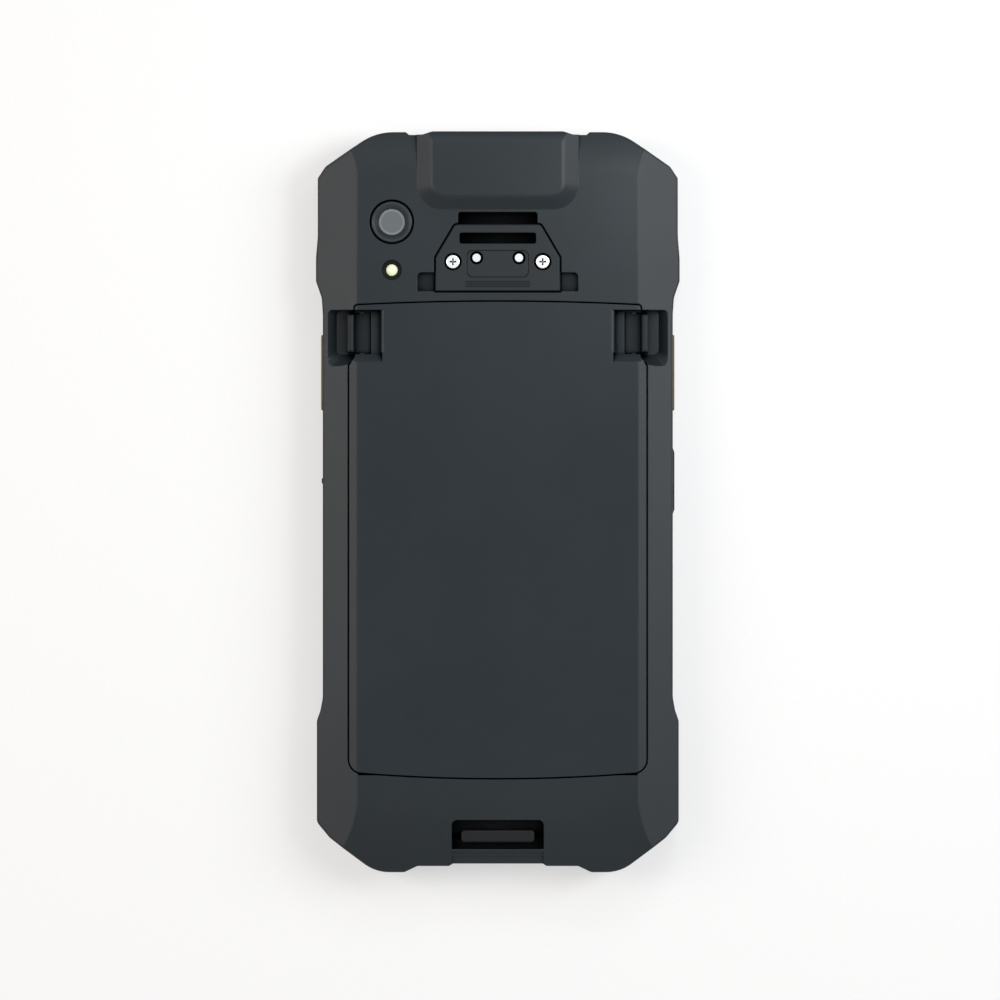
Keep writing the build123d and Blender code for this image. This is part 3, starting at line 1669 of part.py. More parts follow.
with BuildPart() as contact_insert:
    with BuildSketch(Plane.XY.offset(plate_z)):
        with Locations((0, insert_y)):
            RectangleRounded(2 * insert_half, insert_length, insert_corner)
    extrude(amount=plate_thickness - insert_sunk)
    with Locations(Plane.XY.offset(plate_top_z - insert_sunk)):
        with Locations((-contact_x, contact_y), (contact_x, contact_y)):
            CounterBoreHole(
                contact_radius + contact_gap,
                contact_ring_radius,
                contact_ring_depth,
                depth=2 * plate_thickness,
            )
save(contact_insert, "contact_insert")

with BuildPart() as contact_pins:
    with Locations((-contact_x, contact_y, plate_z), (contact_x, contact_y, plate_z)):
        Cylinder(
            contact_radius,
            plate_thickness - insert_sunk - contact_sunk,
            align=(Align.CENTER, Align.CENTER, Align.MIN),
        )
    fillet(contact_pins.faces().group_by(Axis.Z)[-1].edges(), contact_round)
save(contact_pins, "contact_pins")

with BuildPart() as tether_bar:
    with BuildSketch(Plane.XY.offset(tether_bar_z - tether_bar_height / 2)) as bar_section:
        with Locations((0, tether_bar_y)):
            Rectangle(2 * tether_bar_half, tether_bar_width)
        fillet(bar_section.vertices(), tether_bar_corner)
    extrude(amount=tether_bar_height)
    fillet(tether_bar.faces().sort_by(Axis.Z)[-1].edges(), tether_bar_round)
    with BuildSketch(Plane.YZ):
        with Locations((tether_bar_y, tether_pin_z)):
            Circle(tether_pin_radius)
    extrude(amount=tether_half + tether_pin_reach, both=True)
save(tether_bar, "tether_bar")

# ---------------------------------------------------------------------------------------------
# Keys and their switches
# ---------------------------------------------------------------------------------------------


def side_key(sign, key_y, key_length, face_x, back_x, nib_places):
    """Side key: a body through its window, a flange inside the wall and nibs for the switches."""
    with BuildPart() as key:
        with BuildSketch(Plane.YZ.offset(sign * back_x)):
            with Locations((key_y, key_z)):
                RectangleRounded(key_length, key_height, key_corner)
        extrude(amount=sign * (face_x - back_x))
        fillet(key.faces().sort_by(Axis.X)[0 if sign < 0 else -1].edges(), key_edge_round)
        with BuildSketch(Plane.YZ.offset(sign * back_x)):
            with Locations((key_y, key_z)):
                RectangleRounded(
                    key_length + 2 * key_flange,
                    key_height + 2 * key_flange,
                    key_corner + key_flange,
                )
        extrude(amount=-sign * key_flange_thickness)
        with BuildSketch(Plane.YZ.offset(sign * (back_x - key_flange_thickness))):
            with Locations(*[(key_y + place, key_z) for place in nib_places]):
                RectangleRounded(nib_length, nib_height, nib_corner)
        extrude(amount=-sign * key_nib)
    return key


for sign, side in ((-1, "left"), (1, "right")):
    scan_button = side_key(
        sign, scan_key_y, scan_key_length, waist_x + scan_key_proud, flange_x, [0]
    )
    save(scan_button, f"scan_button_{side}")

talk_face_x = waist_x + talk_key_proud
talk_key = side_key(1, lower_key_y, lower_key_length, talk_face_x, flange_x, [0])
with BuildPart() as talk_button:
    add(talk_key.part)
    # Ends that run down to the side wall
    with BuildSketch(Plane.XY.offset(key_z - key_height)):
        for end in (-1, 1):
            with BuildLine():
                Polyline(
                    (waist_x, lower_key_y + end * lower_key_length / 2),
                    (talk_face_x, lower_key_y + end * (lower_key_length / 2 - talk_key_taper)),
                    (talk_face_x + 1, lower_key_y + end * (lower_key_length / 2 - talk_key_taper)),
                    (talk_face_x + 1, lower_key_y + end * (lower_key_length / 2 + 1)),
                    (waist_x, lower_key_y + end * (lower_key_length / 2 + 1)),
                    close=True,
                )
            make_face()
    extrude(amount=2 * key_height, mode=Mode.SUBTRACT)
save(talk_button, "talk_button")

rocker_back_x = cavity_x - rocker_flange_gap
rib_height = key_flange - key_gap
rib_middle = key_height / 2 + key_gap + rib_height / 2
rocker_nibs = [-rocker_nib_offset, rocker_nib_offset]
rocker_keys = side_key(-1, lower_key_y, lower_key_length, waist_x, rocker_back_x, rocker_nibs)
with BuildPart() as volume_rocker:
    add(rocker_keys.part)
    # Locating pip between its two ends
    with BuildSketch(Plane.YZ.offset(-waist_x)):
        with Locations((lower_key_y, key_z)):
            RectangleRounded(rocker_pip_length, key_height - 2 * key_edge_round, nib_corner)
    extrude(amount=-rocker_pip_height)
    fillet(volume_rocker.faces().sort_by(Axis.X)[0].edges(), rocker_pip_round)
    # Half-round ribs above and below the window, which the rocker turns on
    for rib_z in (key_z - rib_middle, key_z + rib_middle):
        with BuildSketch(Plane.XY.offset(rib_z - rib_height / 2)):
            with Locations((-rocker_back_x, lower_key_y)):
                Circle(rocker_flange_gap - rib_gap)
        extrude(amount=rib_height)
save(volume_rocker, "volume_rocker")

with BuildPart() as power_button:
    with BuildSketch(Plane.XZ.offset(-power_flange_y)):
        with Locations((power_key_x, power_key_z)):
            SlotOverall(power_key_length, power_key_height)
    extrude(amount=-(power_face_y - power_flange_y))
    fillet(power_button.faces().sort_by(Axis.Y)[-1].edges(), key_edge_round)
    with BuildSketch(Plane.XZ.offset(-power_flange_y)):
        with Locations((power_key_x, power_key_z)):
            SlotOverall(power_key_length + 2 * key_flange, power_key_height + 2 * key_flange)
    extrude(amount=key_flange_thickness)
    with BuildSketch(Plane.XZ.offset(-(power_flange_y - key_flange_thickness))):
        with Locations((power_key_x, power_key_z)):
            RectangleRounded(nib_length, nib_height, nib_corner)
    extrude(amount=key_nib)
save(power_button, "power_button")

switch_body_x = switch_x - switch_plunger_length

with BuildPart() as key_switches:
    for sign, place in (
        (-1, scan_key_y),
        (1, scan_key_y),
        (1, lower_key_y),
        (-1, lower_key_y - rocker_nib_offset),
        (-1, lower_key_y + rocker_nib_offset),
    ):
        with Locations((sign * (switch_body_x - switch_depth / 2), place, frame_top_z)):
            Box(
                switch_depth,
                switch_length,
                switch_height,
                align=(Align.CENTER, Align.CENTER, Align.MIN),
            )
        with BuildSketch(Plane.YZ.offset(sign * switch_body_x)):
            with Locations((place, key_z)):
                Circle(switch_plunger_radius)
        extrude(amount=sign * switch_plunger_length)
    # The switch behind the power key looks towards the scanner end
    with Locations((power_key_x, power_switch_y - switch_plunger_length, frame_top_z)):
        Box(
            switch_length,
            switch_depth,
            switch_height,
            align=(Align.CENTER, Align.MAX, Align.MIN),
        )
    with BuildSketch(Plane.XZ.offset(-(power_switch_y - switch_plunger_length))):
        with Locations((power_key_x, power_key_z)):
            Circle(switch_plunger_radius)
    extrude(amount=-switch_plunger_length)
save(key_switches, "key_switches")

# ---------------------------------------------------------------------------------------------
# Battery pack: cover, tub with its two hooks, cell, protection board, pads and latches
# ---------------------------------------------------------------------------------------------

pack_floor_z = pack_z + pack_floor
cell_room_half = pack_half - pack_wall
cell_room_foot = pack_foot_y + pack_wall
cell_room_top = latch_low_y - latch_foot_reach - latch_gap - pack_wall
board_room_half = latch_wall_x - pack_wall
board_room_foot = cell_room_top + pack_wall
board_room_top = pack_top_y - pack_wall

with BuildPart() as battery_cover:
    with BuildSketch(Plane.XY.offset(cover_z)):
        add(cover_outline.sketch)
        offset(amount=-seam_gap / 2, mode=Mode.REPLACE)
    extrude(amount=cover_thickness)
    extrude(outer_cross, amount=body_length, both=True, mode=Mode.INTERSECT)
    # Inner halves of the two finger pockets
    for sign in side_signs():
        with BuildSketch(Plane.XZ.offset(-pocket_top_y)):
            with BuildLine() as pocket_line:
                Polyline(
                    (sign * pack_pocket_x, body_height - pack_pocket_round),
                    (sign * pack_pocket_x, body_height - pack_pocket_depth),
                    (sign * cover_side_x, body_height - pack_pocket_depth),
                    (sign * cover_side_x, body_height + 1),
                    (sign * (pack_pocket_x - pack_pocket_round), body_height + 1),
                    (sign * (pack_pocket_x - pack_pocket_round), body_height),
                )
                TangentArc(
                    (sign * pack_pocket_x, body_height - pack_pocket_round),
                    (sign * (pack_pocket_x - pack_pocket_round), body_height),
                    tangent=(0, 1),
                )
            make_face()
        extrude(amount=finger_pocket_length, mode=Mode.SUBTRACT)
        # Ramp that runs out towards the foot
        with BuildSketch(Plane.YZ.offset(sign * (pack_pocket_x - pack_pocket_round / 2))):
            with BuildLine():
                Polyline(
                    (latch_low_y, body_height - pack_pocket_depth),
                    (latch_low_y, body_height + 1),
                    (latch_low_y - pack_ramp_length, body_height + 1),
                    (latch_low_y - pack_ramp_length, body_height),
                    close=True,
                )
            make_face()
        extrude(amount=sign * beyond * 2, mode=Mode.SUBTRACT)
    for sign in side_signs():
        with Locations((sign * (latch_window_x + beyond), latch_y, cover_z)):
            Box(
                2 * beyond,
                latch_length + 2 * latch_end_gap,
                2 * cover_thickness,
                mode=Mode.SUBTRACT,
            )
save(battery_cover, "battery_cover")

hooks = [hook_sketch(sign * hook_spread / 2, 0, hook_end_angle) for sign in side_signs()]

with BuildPart() as battery_tub:
    with Locations((0, (pack_foot_y + pack_top_y) / 2, pack_z)):
        Box(
            2 * pack_half,
            pack_top_y - pack_foot_y,
            cover_z - pack_z,
            align=(Align.CENTER, Align.CENTER, Align.MIN),
        )
    fillet(battery_tub.faces().sort_by(Axis.Z)[0].edges(), pack_edge_round)
    # Rooms of the cell and of the protection board
    with Locations((0, (cell_room_foot + cell_room_top) / 2, pack_floor_z)):
        Box(
            2 * cell_room_half,
            cell_room_top - cell_room_foot,
            cover_z,
            align=(Align.CENTER, Align.CENTER, Align.MIN),
            mode=Mode.SUBTRACT,
        )
    with Locations((0, (board_room_foot + board_room_top) / 2, pack_floor_z)):
        Box(
            2 * board_room_half,
            board_room_top - board_room_foot,
            cover_z,
            align=(Align.CENTER, Align.CENTER, Align.MIN),
            mode=Mode.SUBTRACT,
        )
    # Slide channels of the latches, open to the side for their bodies only
    channel_end_x = latch_face_x + latch_foot_width + latch_gap
    for sign in side_signs():
        with Locations((sign * (latch_wall_x + channel_end_x) / 2, latch_y, latch_well_z)):
            Box(
                channel_end_x - latch_wall_x,
                latch_length + 2 * (latch_foot_reach + latch_gap),
                cover_z,
                align=(Align.CENTER, Align.CENTER, Align.MIN),
                mode=Mode.SUBTRACT,
            )
        with Locations((sign * (latch_wall_x + beyond), latch_y, latch_well_z)):
            Box(
                2 * beyond,
                latch_length + 2 * latch_gap,
                cover_z,
                align=(Align.CENTER, Align.CENTER, Align.MIN),
                mode=Mode.SUBTRACT,
            )
    # Windows of the contact pads
    with Locations((0, connector_y, pack_z)):
        with GridLocations(terminal_pitch, 1, terminal_count, 1):
            Box(pad_width, pad_length, 2 * pack_floor + 1, mode=Mode.SUBTRACT)
    for hook in hooks:
        extrude(hook, amount=hook_width / 2, both=True)
save(battery_tub, "battery_tub")

with BuildPart() as battery_cell:
    with Locations((0, (cell_room_foot + cell_room_top) / 2, pack_floor_z)):
        Box(
            2 * (cell_room_half - cell_gap),
            cell_room_top - cell_room_foot - 2 * cell_gap,
            cover_z - pack_floor_z - cell_swell_gap,
            align=(Align.CENTER, Align.CENTER, Align.MIN),
        )
    fillet(battery_cell.edges().filter_by(Axis.Y), cell_round)
save(battery_cell, "battery_cell")

with BuildPart() as battery_board:
    with Locations((0, (board_room_foot + board_room_top) / 2, pack_floor_z)):
        Box(
            2 * (board_room_half - cell_gap),
            board_room_top - board_room_foot - 2 * cell_gap,
            board_thickness,
            align=(Align.CENTER, Align.CENTER, Align.MIN),
        )
    # Protection chips and the fuse
    with Locations((0, (board_room_foot + board_room_top) / 2, pack_floor_z + board_thickness)):
        with GridLocations(board_room_half / 2, 1, 4, 1):
            Box(
                pad_length,
                pad_length,
                board_thickness,
                align=(Align.CENTER, Align.CENTER, Align.MIN),
            )
save(battery_board, "battery_board")

with BuildPart() as battery_pads:
    with Locations((0, connector_y, pack_z)):
        with GridLocations(terminal_pitch, 1, terminal_count, 1):
            Box(
                pad_width - 2 * pad_gap,
                pad_length - 2 * pad_gap,
                pack_floor,
                align=(Align.CENTER, Align.CENTER, Align.MIN),
            )
save(battery_pads, "battery_pads")

bore_end_x = latch_inner_x + latch_bore_depth
spring_z = latch_z + latch_face_height / 2


def battery_latch(sign):
    """Latch slider: finger ridge outside, guide flanges and the blind spring bore inside."""
    ridge_x = latch_face_x + latch_face_width
    with BuildPart() as latch:
        with BuildSketch(Plane.XZ.offset(-(latch_low_y + latch_length))):
            with BuildLine():
                Polyline(
                    (sign * latch_inner_x, latch_z),
                    (sign * (ridge_x + latch_ridge_width), latch_z),
                    (sign * (ridge_x + latch_ridge_width), latch_z + latch_ridge_height),
                    (sign * ridge_x, latch_z + latch_ridge_height),
                    (sign * ridge_x, latch_z + latch_face_height),
                    (sign * latch_inner_x, latch_z + latch_face_height),
                    close=True,
                )
            make_face()
        extrude(amount=latch_length)
        fillet(latch.faces().sort_by(Axis.Z)[-1].edges(), latch_round)
        with Locations((sign * (latch_face_x + latch_foot_width / 2), latch_y, latch_z)):
            Box(
                latch_foot_width,
                latch_length + 2 * latch_foot_reach,
                latch_face_height,
                align=(Align.CENTER, Align.CENTER, Align.MIN),
            )
        with BuildSketch(Plane.YZ.offset(sign * latch_inner_x)):
            with Locations((latch_y, spring_z)):
                Circle(latch_bore_radius)
        extrude(amount=sign * latch_bore_depth, mode=Mode.SUBTRACT)
    return latch


def latch_spring(sign):
    """Coil spring between the wall of the pack and the end of the latch bore."""
    length = bore_end_x - latch_wall_x - 2 * latch_spring_wire
    with BuildPart() as spring:
        with BuildLine() as coil:
            Helix(
                pitch=length / latch_spring_turns,
                height=length,
                radius=latch_spring_radius,
                center=(sign * (latch_wall_x + latch_spring_wire), latch_y, spring_z),
                direction=(sign, 0, 0),
            )
        with BuildSketch(Plane(origin=coil.line @ 0, z_dir=coil.line % 0)):
            Circle(latch_spring_wire)
        sweep(path=coil.line, is_frenet=True)
    return spring


for sign, side in ((-1, "left"), (1, "right")):
    save(battery_latch(sign), f"latch_{side}")
    save(latch_spring(sign), f"latch_spring_{side}")
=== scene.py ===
"""Finishes, light and camera for a portable barcode data terminal seen from its back."""

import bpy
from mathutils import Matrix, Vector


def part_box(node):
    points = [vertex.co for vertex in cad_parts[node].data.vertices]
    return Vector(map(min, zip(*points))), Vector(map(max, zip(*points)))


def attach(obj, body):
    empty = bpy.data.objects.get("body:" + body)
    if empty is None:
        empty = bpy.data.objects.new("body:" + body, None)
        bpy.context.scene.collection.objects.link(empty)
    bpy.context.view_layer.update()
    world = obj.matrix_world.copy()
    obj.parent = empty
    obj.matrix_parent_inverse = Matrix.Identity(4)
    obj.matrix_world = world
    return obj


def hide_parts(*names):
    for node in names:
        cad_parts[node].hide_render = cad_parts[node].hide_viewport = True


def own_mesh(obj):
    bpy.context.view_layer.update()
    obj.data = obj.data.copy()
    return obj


bl_info = {
    "name": "Portable data terminal",
    "version": (1, 0, 0),
    "blender": (4, 5, 0),
    "location": "View3D > Sidebar > Terminal",
    "description": "Dresses the packed model of a portable data terminal",
    "category": "Object",
}

import bmesh
import bpy
from mathutils import Vector

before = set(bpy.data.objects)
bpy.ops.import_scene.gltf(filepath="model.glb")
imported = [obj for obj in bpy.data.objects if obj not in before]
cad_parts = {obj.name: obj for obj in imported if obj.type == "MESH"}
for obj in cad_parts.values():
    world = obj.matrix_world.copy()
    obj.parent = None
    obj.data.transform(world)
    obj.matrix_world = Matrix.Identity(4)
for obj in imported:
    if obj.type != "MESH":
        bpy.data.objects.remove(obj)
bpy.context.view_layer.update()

MM = 0.001

BLACK = (0.0, 0.0, 0.0)
WHITE = (1.0, 1.0, 1.0)

# Brightness of the white surroundings, as the camera and reflections see them
BACKDROP_WHITE = 1.0

# Levels of a noise: nearly its whole range, its middle, and its upper parts
NOISE_RANGE = (0.3, 0.7)
NOISE_MIDDLE = (0.35, 0.65)
NOISE_PATCHES = (0.35, 0.7)
NOISE_UPPER = (0.5, 0.8)
NOISE_PEAKS = (0.62, 0.8)

# Openness up to which painted shade makes a finish black, and from which it is plain
PLAIN_RECESS = (0.32, 0.6)
HOUSING_RECESS = (0.2, 0.55)
COVER_RECESS = (0.5, 0.97)
LATCH_RECESS = (0.45, 0.95)
METAL_RECESS = (0.7, 0.95)

# Cosine between the true and the rounded normal, on a flat surface and on an edge
FLAT_COSINE = 0.995
EDGE_COSINE = 0.8

# Rays that find a recess and an edge
RECESS_RAYS = 6
EDGE_RAYS = 4

GLASS_IOR = 1.5

# How strongly specks of dust show on glass, and how much paler they are
DUST_SHARE = 0.12
DUST_TINT = 3.0

# Sensor width in millimetres, as a camera counts it, and its reach in metres
SENSOR_WIDTH = 36.0
CAMERA_REACH = 100.0

FLOOR_SEGMENTS = 8


def display_colour(red, green, blue):
    """Scene-linear colour of an 8-bit display colour."""
    knee, slope, foot, power = 0.04045, 12.92, 0.055, 2.4

    def linear(level):
        share = level / 255
        if share <= knee:
            return share / slope
        return ((share + foot) / (1 + foot)) ** power

    return linear(red), linear(green), linear(blue)


# ---------------------------------------------------------------- settings


def colour_setting(name, description, default):
    return bpy.props.FloatVectorProperty(
        name=name,
        description=description,
        subtype="COLOR",
        size=3,
        min=0,
        max=1,
        default=default,
    )


def length_setting(name, description, default):
    return bpy.props.FloatProperty(
        name=name,
        description=description,
        subtype="DISTANCE",
        unit="LENGTH",
        min=0,
        default=default,
    )


def share_setting(name, description, default):
    return bpy.props.FloatProperty(
        name=name,
        description=description,
        subtype="FACTOR",
        min=0,
        max=1,
        default=default,
    )


class TerminalShellSettings(bpy.types.PropertyGroup):
    """Colours and moulded texture of the housings, the battery cover and the keys."""

    housing_colour: colour_setting(
        "Housing colour", "Plastic of the rear housing", (0.0130, 0.0178, 0.0215)
    )
    front_colour: colour_setting(
        "Front colour", "Plastic of the front housing", (0.0125, 0.0150, 0.0170)
    )
    cover_colour: colour_setting(
        "Cover colour", "Plastic of the battery cover", (0.0115, 0.0170, 0.0215)
    )
    trim_colour: colour_setting(
        "Trim colour", "Plastic of the latches, plate and black keys", (0.0110, 0.0150, 0.0180)
    )
    black_colour: colour_setting(
        "Black", "Plastic of the small black pieces", (0.0060, 0.0070, 0.0080)
    )
    amber_colour: colour_setting(
        "Key amber", "Plastic of the scan keys", (0.1350, 0.1050, 0.0200)
    )
    grain_size: length_setting(
        "Grain size", "Width of one grain of the moulded texture", 0.16 * MM
    )
    grain_depth: length_setting(
        "Grain depth", "Depth of the moulded texture", 0.006 * MM
    )
    # Reach of the painted shade that darkens slots, seams and recesses
    recess_reach: length_setting(
        "Recess reach", "How near other surfaces shade a slot or seam", 8 * MM
    )
    edge_width: length_setting(
        "Edge width", "Width of the rubbed band along an edge", 0.25 * MM
    )
    edge_wear: share_setting(
        "Edge wear", "How much paler the rubbed edges are", 0.35
    )


class TerminalFittingSettings(bpy.types.PropertyGroup):
    """Colours of the glass, metal and electrical pieces, and sizes of their dark rims:
    the black flash dish and the painted shade round the contacts and in the wells by the plate.
    """

    steel_colour: colour_setting(
        "Steel", "Plated sheet and machined pieces", display_colour(186, 188, 190)
    )
    screw_colour: colour_setting(
        "Screw", "Bright plated plate screws and contacts", display_colour(236, 238, 240)
    )
    gold_colour: colour_setting(
        "Gold", "Gold-plated contacts", display_colour(226, 190, 110)
    )
    board_colour: colour_setting(
        "Board", "Solder mask of the circuit boards", display_colour(22, 66, 46)
    )
    lamp_colour: colour_setting(
        "Lamp", "Phosphor of the flash lamp", display_colour(240, 226, 150)
    )
    flash_colour: colour_setting(
        "Flash lens", "Clear dome over the flash lamp", (0.97, 1.0, 0.66)
    )
    pane_colour: colour_setting(
        "Camera pane", "Tint of the camera window", display_colour(94, 104, 107)
    )
    scan_colour: colour_setting(
        "Scan window", "Tint of the scan window", display_colour(74, 8, 8)
    )
    scan_lens_colour: colour_setting(
        "Scan lens", "Coated lens of the scan engine", (0.35, 0.4, 0.5)
    )
    glass_colour: colour_setting(
        "Glass print", "Black print behind the touch glass", display_colour(12, 12, 14)
    )
    screen_colour: colour_setting(
        "Dark screen", "Display that is off, under the glass", display_colour(26, 29, 36)
    )
    dish_radius: length_setting(
        "Flash dish", "Radius of the dish round the flash", 2.2 * MM
    )
    # The strap slot and side pockets bound the wells whose floors get painted shade
    strap_slot: length_setting(
        "Strap slot", "Width of the slot above the plate", 2.7 * MM
    )
    side_pocket: length_setting(
        "Side pocket", "Width of the pockets beside the plate", 4 * MM
    )
    # Painted shade darkens each contact outside its bright face, and the insert out to its ring
    contact_face: length_setting(
        "Contact face", "Radius of a contact's bright face", 0.84 * MM
    )
    contact_ring: length_setting(
        "Contact ring", "Radius of the groove round a contact", 1.41 * MM
    )


class TerminalStageSettings(bpy.types.PropertyGroup):
    """Camera, floor and lamps."""

    view_width: length_setting("View width", "Width that the camera sees", 216.5 * MM)
    lens_length: bpy.props.FloatProperty(
        name="Lens",
        description="Focal length of the camera in millimetres",
        subtype="DISTANCE_CAMERA",
        min=1,
        default=250,
    )
    view_centre: bpy.props.FloatVectorProperty(
        name="View centre",
        description="Point on the back that the camera looks at",
        subtype="TRANSLATION",
        unit="LENGTH",
        size=3,
        default=(0.48 * MM, 0.5 * MM, 12 * MM),
    )
    floor_size: length_setting("Floor size", "Side of the square floor", 4.0)
    floor_glow: share_setting(
        "Floor glow", "How far the floor goes to plain white for the camera", 0.55
    )
    surround_light: share_setting(
        "Surround", "Light from all round the object", 0.3
    )
    lamp_power: bpy.props.FloatProperty(
        name="Lamp power",
        description="Power that each lamp's share multiplies",
        subtype="POWER",
        unit="POWER",
        min=0,
        default=2.7,
    )


# --------------------------------------------------------- finish building


class Finish:
    """A new material, with short calls that add its nodes and join them."""

    def __init__(self, name):
        self.material = bpy.data.materials.new(name)
        self.material.use_nodes = True
        self.tree = self.material.node_tree
        self.shader = self.tree.nodes["Principled BSDF"]
        self.place = self.add("ShaderNodeTexCoord").outputs["Object"]

    def join(self, socket, value):
        if isinstance(value, bpy.types.NodeSocket):
            self.tree.links.new(value, socket)
        else:
            socket.default_value = value

    def add(self, kind, sockets=(), **settings):
        node = self.tree.nodes.new(kind)
        for key, value in settings.items():
            setattr(node, key, value)
        for key, value in dict(sockets).items():
            self.join(node.inputs[key], value)
        return node

    def set(self, **sockets):
        """Sets or joins shader sockets, named with _ for each space."""
        for key, value in sockets.items():
            self.join(self.shader.inputs[key.replace("_", " ")], value)

    def stretched(self, *scale):
        """Object coordinates multiplied by a vector."""
        mapping = self.add("ShaderNodeMapping", {"Vector": self.place, "Scale": scale})
        return mapping.outputs["Vector"]

    def noise(self, width, detail=2.0, vector=None):
        """Noise whose patches are about this many metres wide."""
        sockets = {
            "Vector": vector or self.place,
            "Scale": 1 / width,
            "Detail": detail,
        }
        return self.add("ShaderNodeTexNoise", sockets).outputs["Fac"]

    def ramp(self, value, low, high, to_low=0.0, to_high=1.0):
        """Value from low to high, taken to the second range and held at its ends."""
        sockets = {
            "Value": value,
            "From Min": low,
            "From Max": high,
            "To Min": to_low,
            "To Max": to_high,
        }
        node = self.add("ShaderNodeMapRange", sockets, interpolation_type="SMOOTHSTEP")
        return node.outputs["Result"]

    def sum(self, first, second, operation="ADD"):
        node = self.add("ShaderNodeMath", {0: first, 1: second}, operation=operation)
        return node.outputs["Value"]

    def product(self, first, second):
        return self.sum(first, second, "MULTIPLY")

    def blend(self, share, first, second):
        """Colour that goes from first to second as share goes from 0 to 1."""
        node = self.add("ShaderNodeMix", data_type="RGBA")
        # The colours' sockets come after those of the node's other data types
        factor, first_colour, second_colour = (node.inputs[i] for i in (0, 6, 7))
        result = node.outputs[2]
        self.join(factor, share)
        self.join(first_colour, opaque(first))
        self.join(second_colour, opaque(second))
        return result

    def bump(self, height, depth, normal=None):
        """Normal of a surface raised by height, which goes from 0 to 1, times depth."""
        sockets = {"Height": height, "Distance": depth, "Strength": 1.0}
        if normal is not None:
            sockets["Normal"] = normal
        return self.add("ShaderNodeBump", sockets).outputs["Normal"]

    def soft_normal(self, width):
        """Normal that turns over an edge through this width."""
        node = self.add("ShaderNodeBevel", {"Radius": width}, samples=EDGE_RAYS)
        return node.outputs["Normal"]

    def edge_share(self, width):
        """0 on plain surface and 1 on an edge, over this width."""
        plain = self.add("ShaderNodeNewGeometry").outputs["Normal"]
        dot = self.add(
            "ShaderNodeVectorMath",
            {0: self.soft_normal(width), 1: plain},
            operation="DOT_PRODUCT",
        )
        return self.ramp(dot.outputs["Value"], FLAT_COSINE, EDGE_COSINE)

    def away_from(self, centres, radius, soft, inside=0.0):
        """1 outside round spots seen from above, and less inside them."""
        flat = self.stretched(1.0, 1.0, 0.0)
        share = 1.0
        for x, y in centres:
            distance = self.add(
                "ShaderNodeVectorMath", {0: flat, 1: (x, y, 0.0)}, operation="DISTANCE"
            )
            clear = self.ramp(distance.outputs["Value"], radius, radius + soft, inside, 1.0)
            share = self.product(share, clear)
        return share

    def within(self, low, high, soft):
        """1 inside an upright rectangle seen from above, and 0 outside it."""
        node = self.add("ShaderNodeSeparateXYZ", {0: self.place})
        share = 1.0
        for axis, start, end in (("X", low[0], high[0]), ("Y", low[1], high[1])):
            value = node.outputs[axis]
            share = self.product(share, self.ramp(value, start - soft, start))
            share = self.product(share, self.ramp(value, end + soft, end))
        return share

    def raised(self, low, high):
        """0 below the low level, and 1 above the high one."""
        node = self.add("ShaderNodeSeparateXYZ", {0: self.place})
        return self.ramp(node.outputs["Z"], low, high)

    def openness(self, reach, black_up_to, plain_from):
        """1 on open surface, and nearer 0 the deeper a point sits in a slot or seam: the share
        left by painted shade.
        """
        sockets = {"Distance": reach}
        node = self.add("ShaderNodeAmbientOcclusion", sockets, samples=RECESS_RAYS)
        return self.ramp(node.outputs["AO"], black_up_to, plain_from)

    def shaded(self, open_share, colour):
        """The colour with painted shade, going black where open_share is 0."""
        return self.blend(open_share, BLACK, colour)

    def dusty(self, grain, base, colour):
        """The base with specks of dust, in this colour made paler."""
        specks = self.ramp(self.noise(grain, detail=4.0), *NOISE_PEAKS, to_high=DUST_SHARE)
        return self.blend(specks, base, tinted(colour, DUST_TINT))


def opaque(colour):
    """A colour with full alpha, or the socket that gives a colour."""
    if isinstance(colour, bpy.types.NodeSocket):
        return colour
    return (*colour, 1.0)


def tinted(colour, factor):
    """The colour made lighter or darker."""
    return tuple(min(1.0, channel * factor) for channel in colour)


def round_tops(node):
    """Centres seen from above, and radius, of one round piece or of two beside each other."""
    low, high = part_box(node)
    radius = (high[1] - low[1]) / 2
    middle = (high[1] + low[1]) / 2
    return [(low[0] + radius, middle), (high[0] - radius, middle)], radius


def round_top(node):
    """Centre seen from above, in a list, and radius of one round piece."""
    centres, radius = round_tops(node)
    return centres[:1], radius


def wear(material, *nodes):
    """Gives CAD nodes this material in place of their plain ones."""
    for name in nodes:
        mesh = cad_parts[name].data
        mesh.materials.clear()
        mesh.materials.append(material)


# ---------------------------------------------------------------- finishes


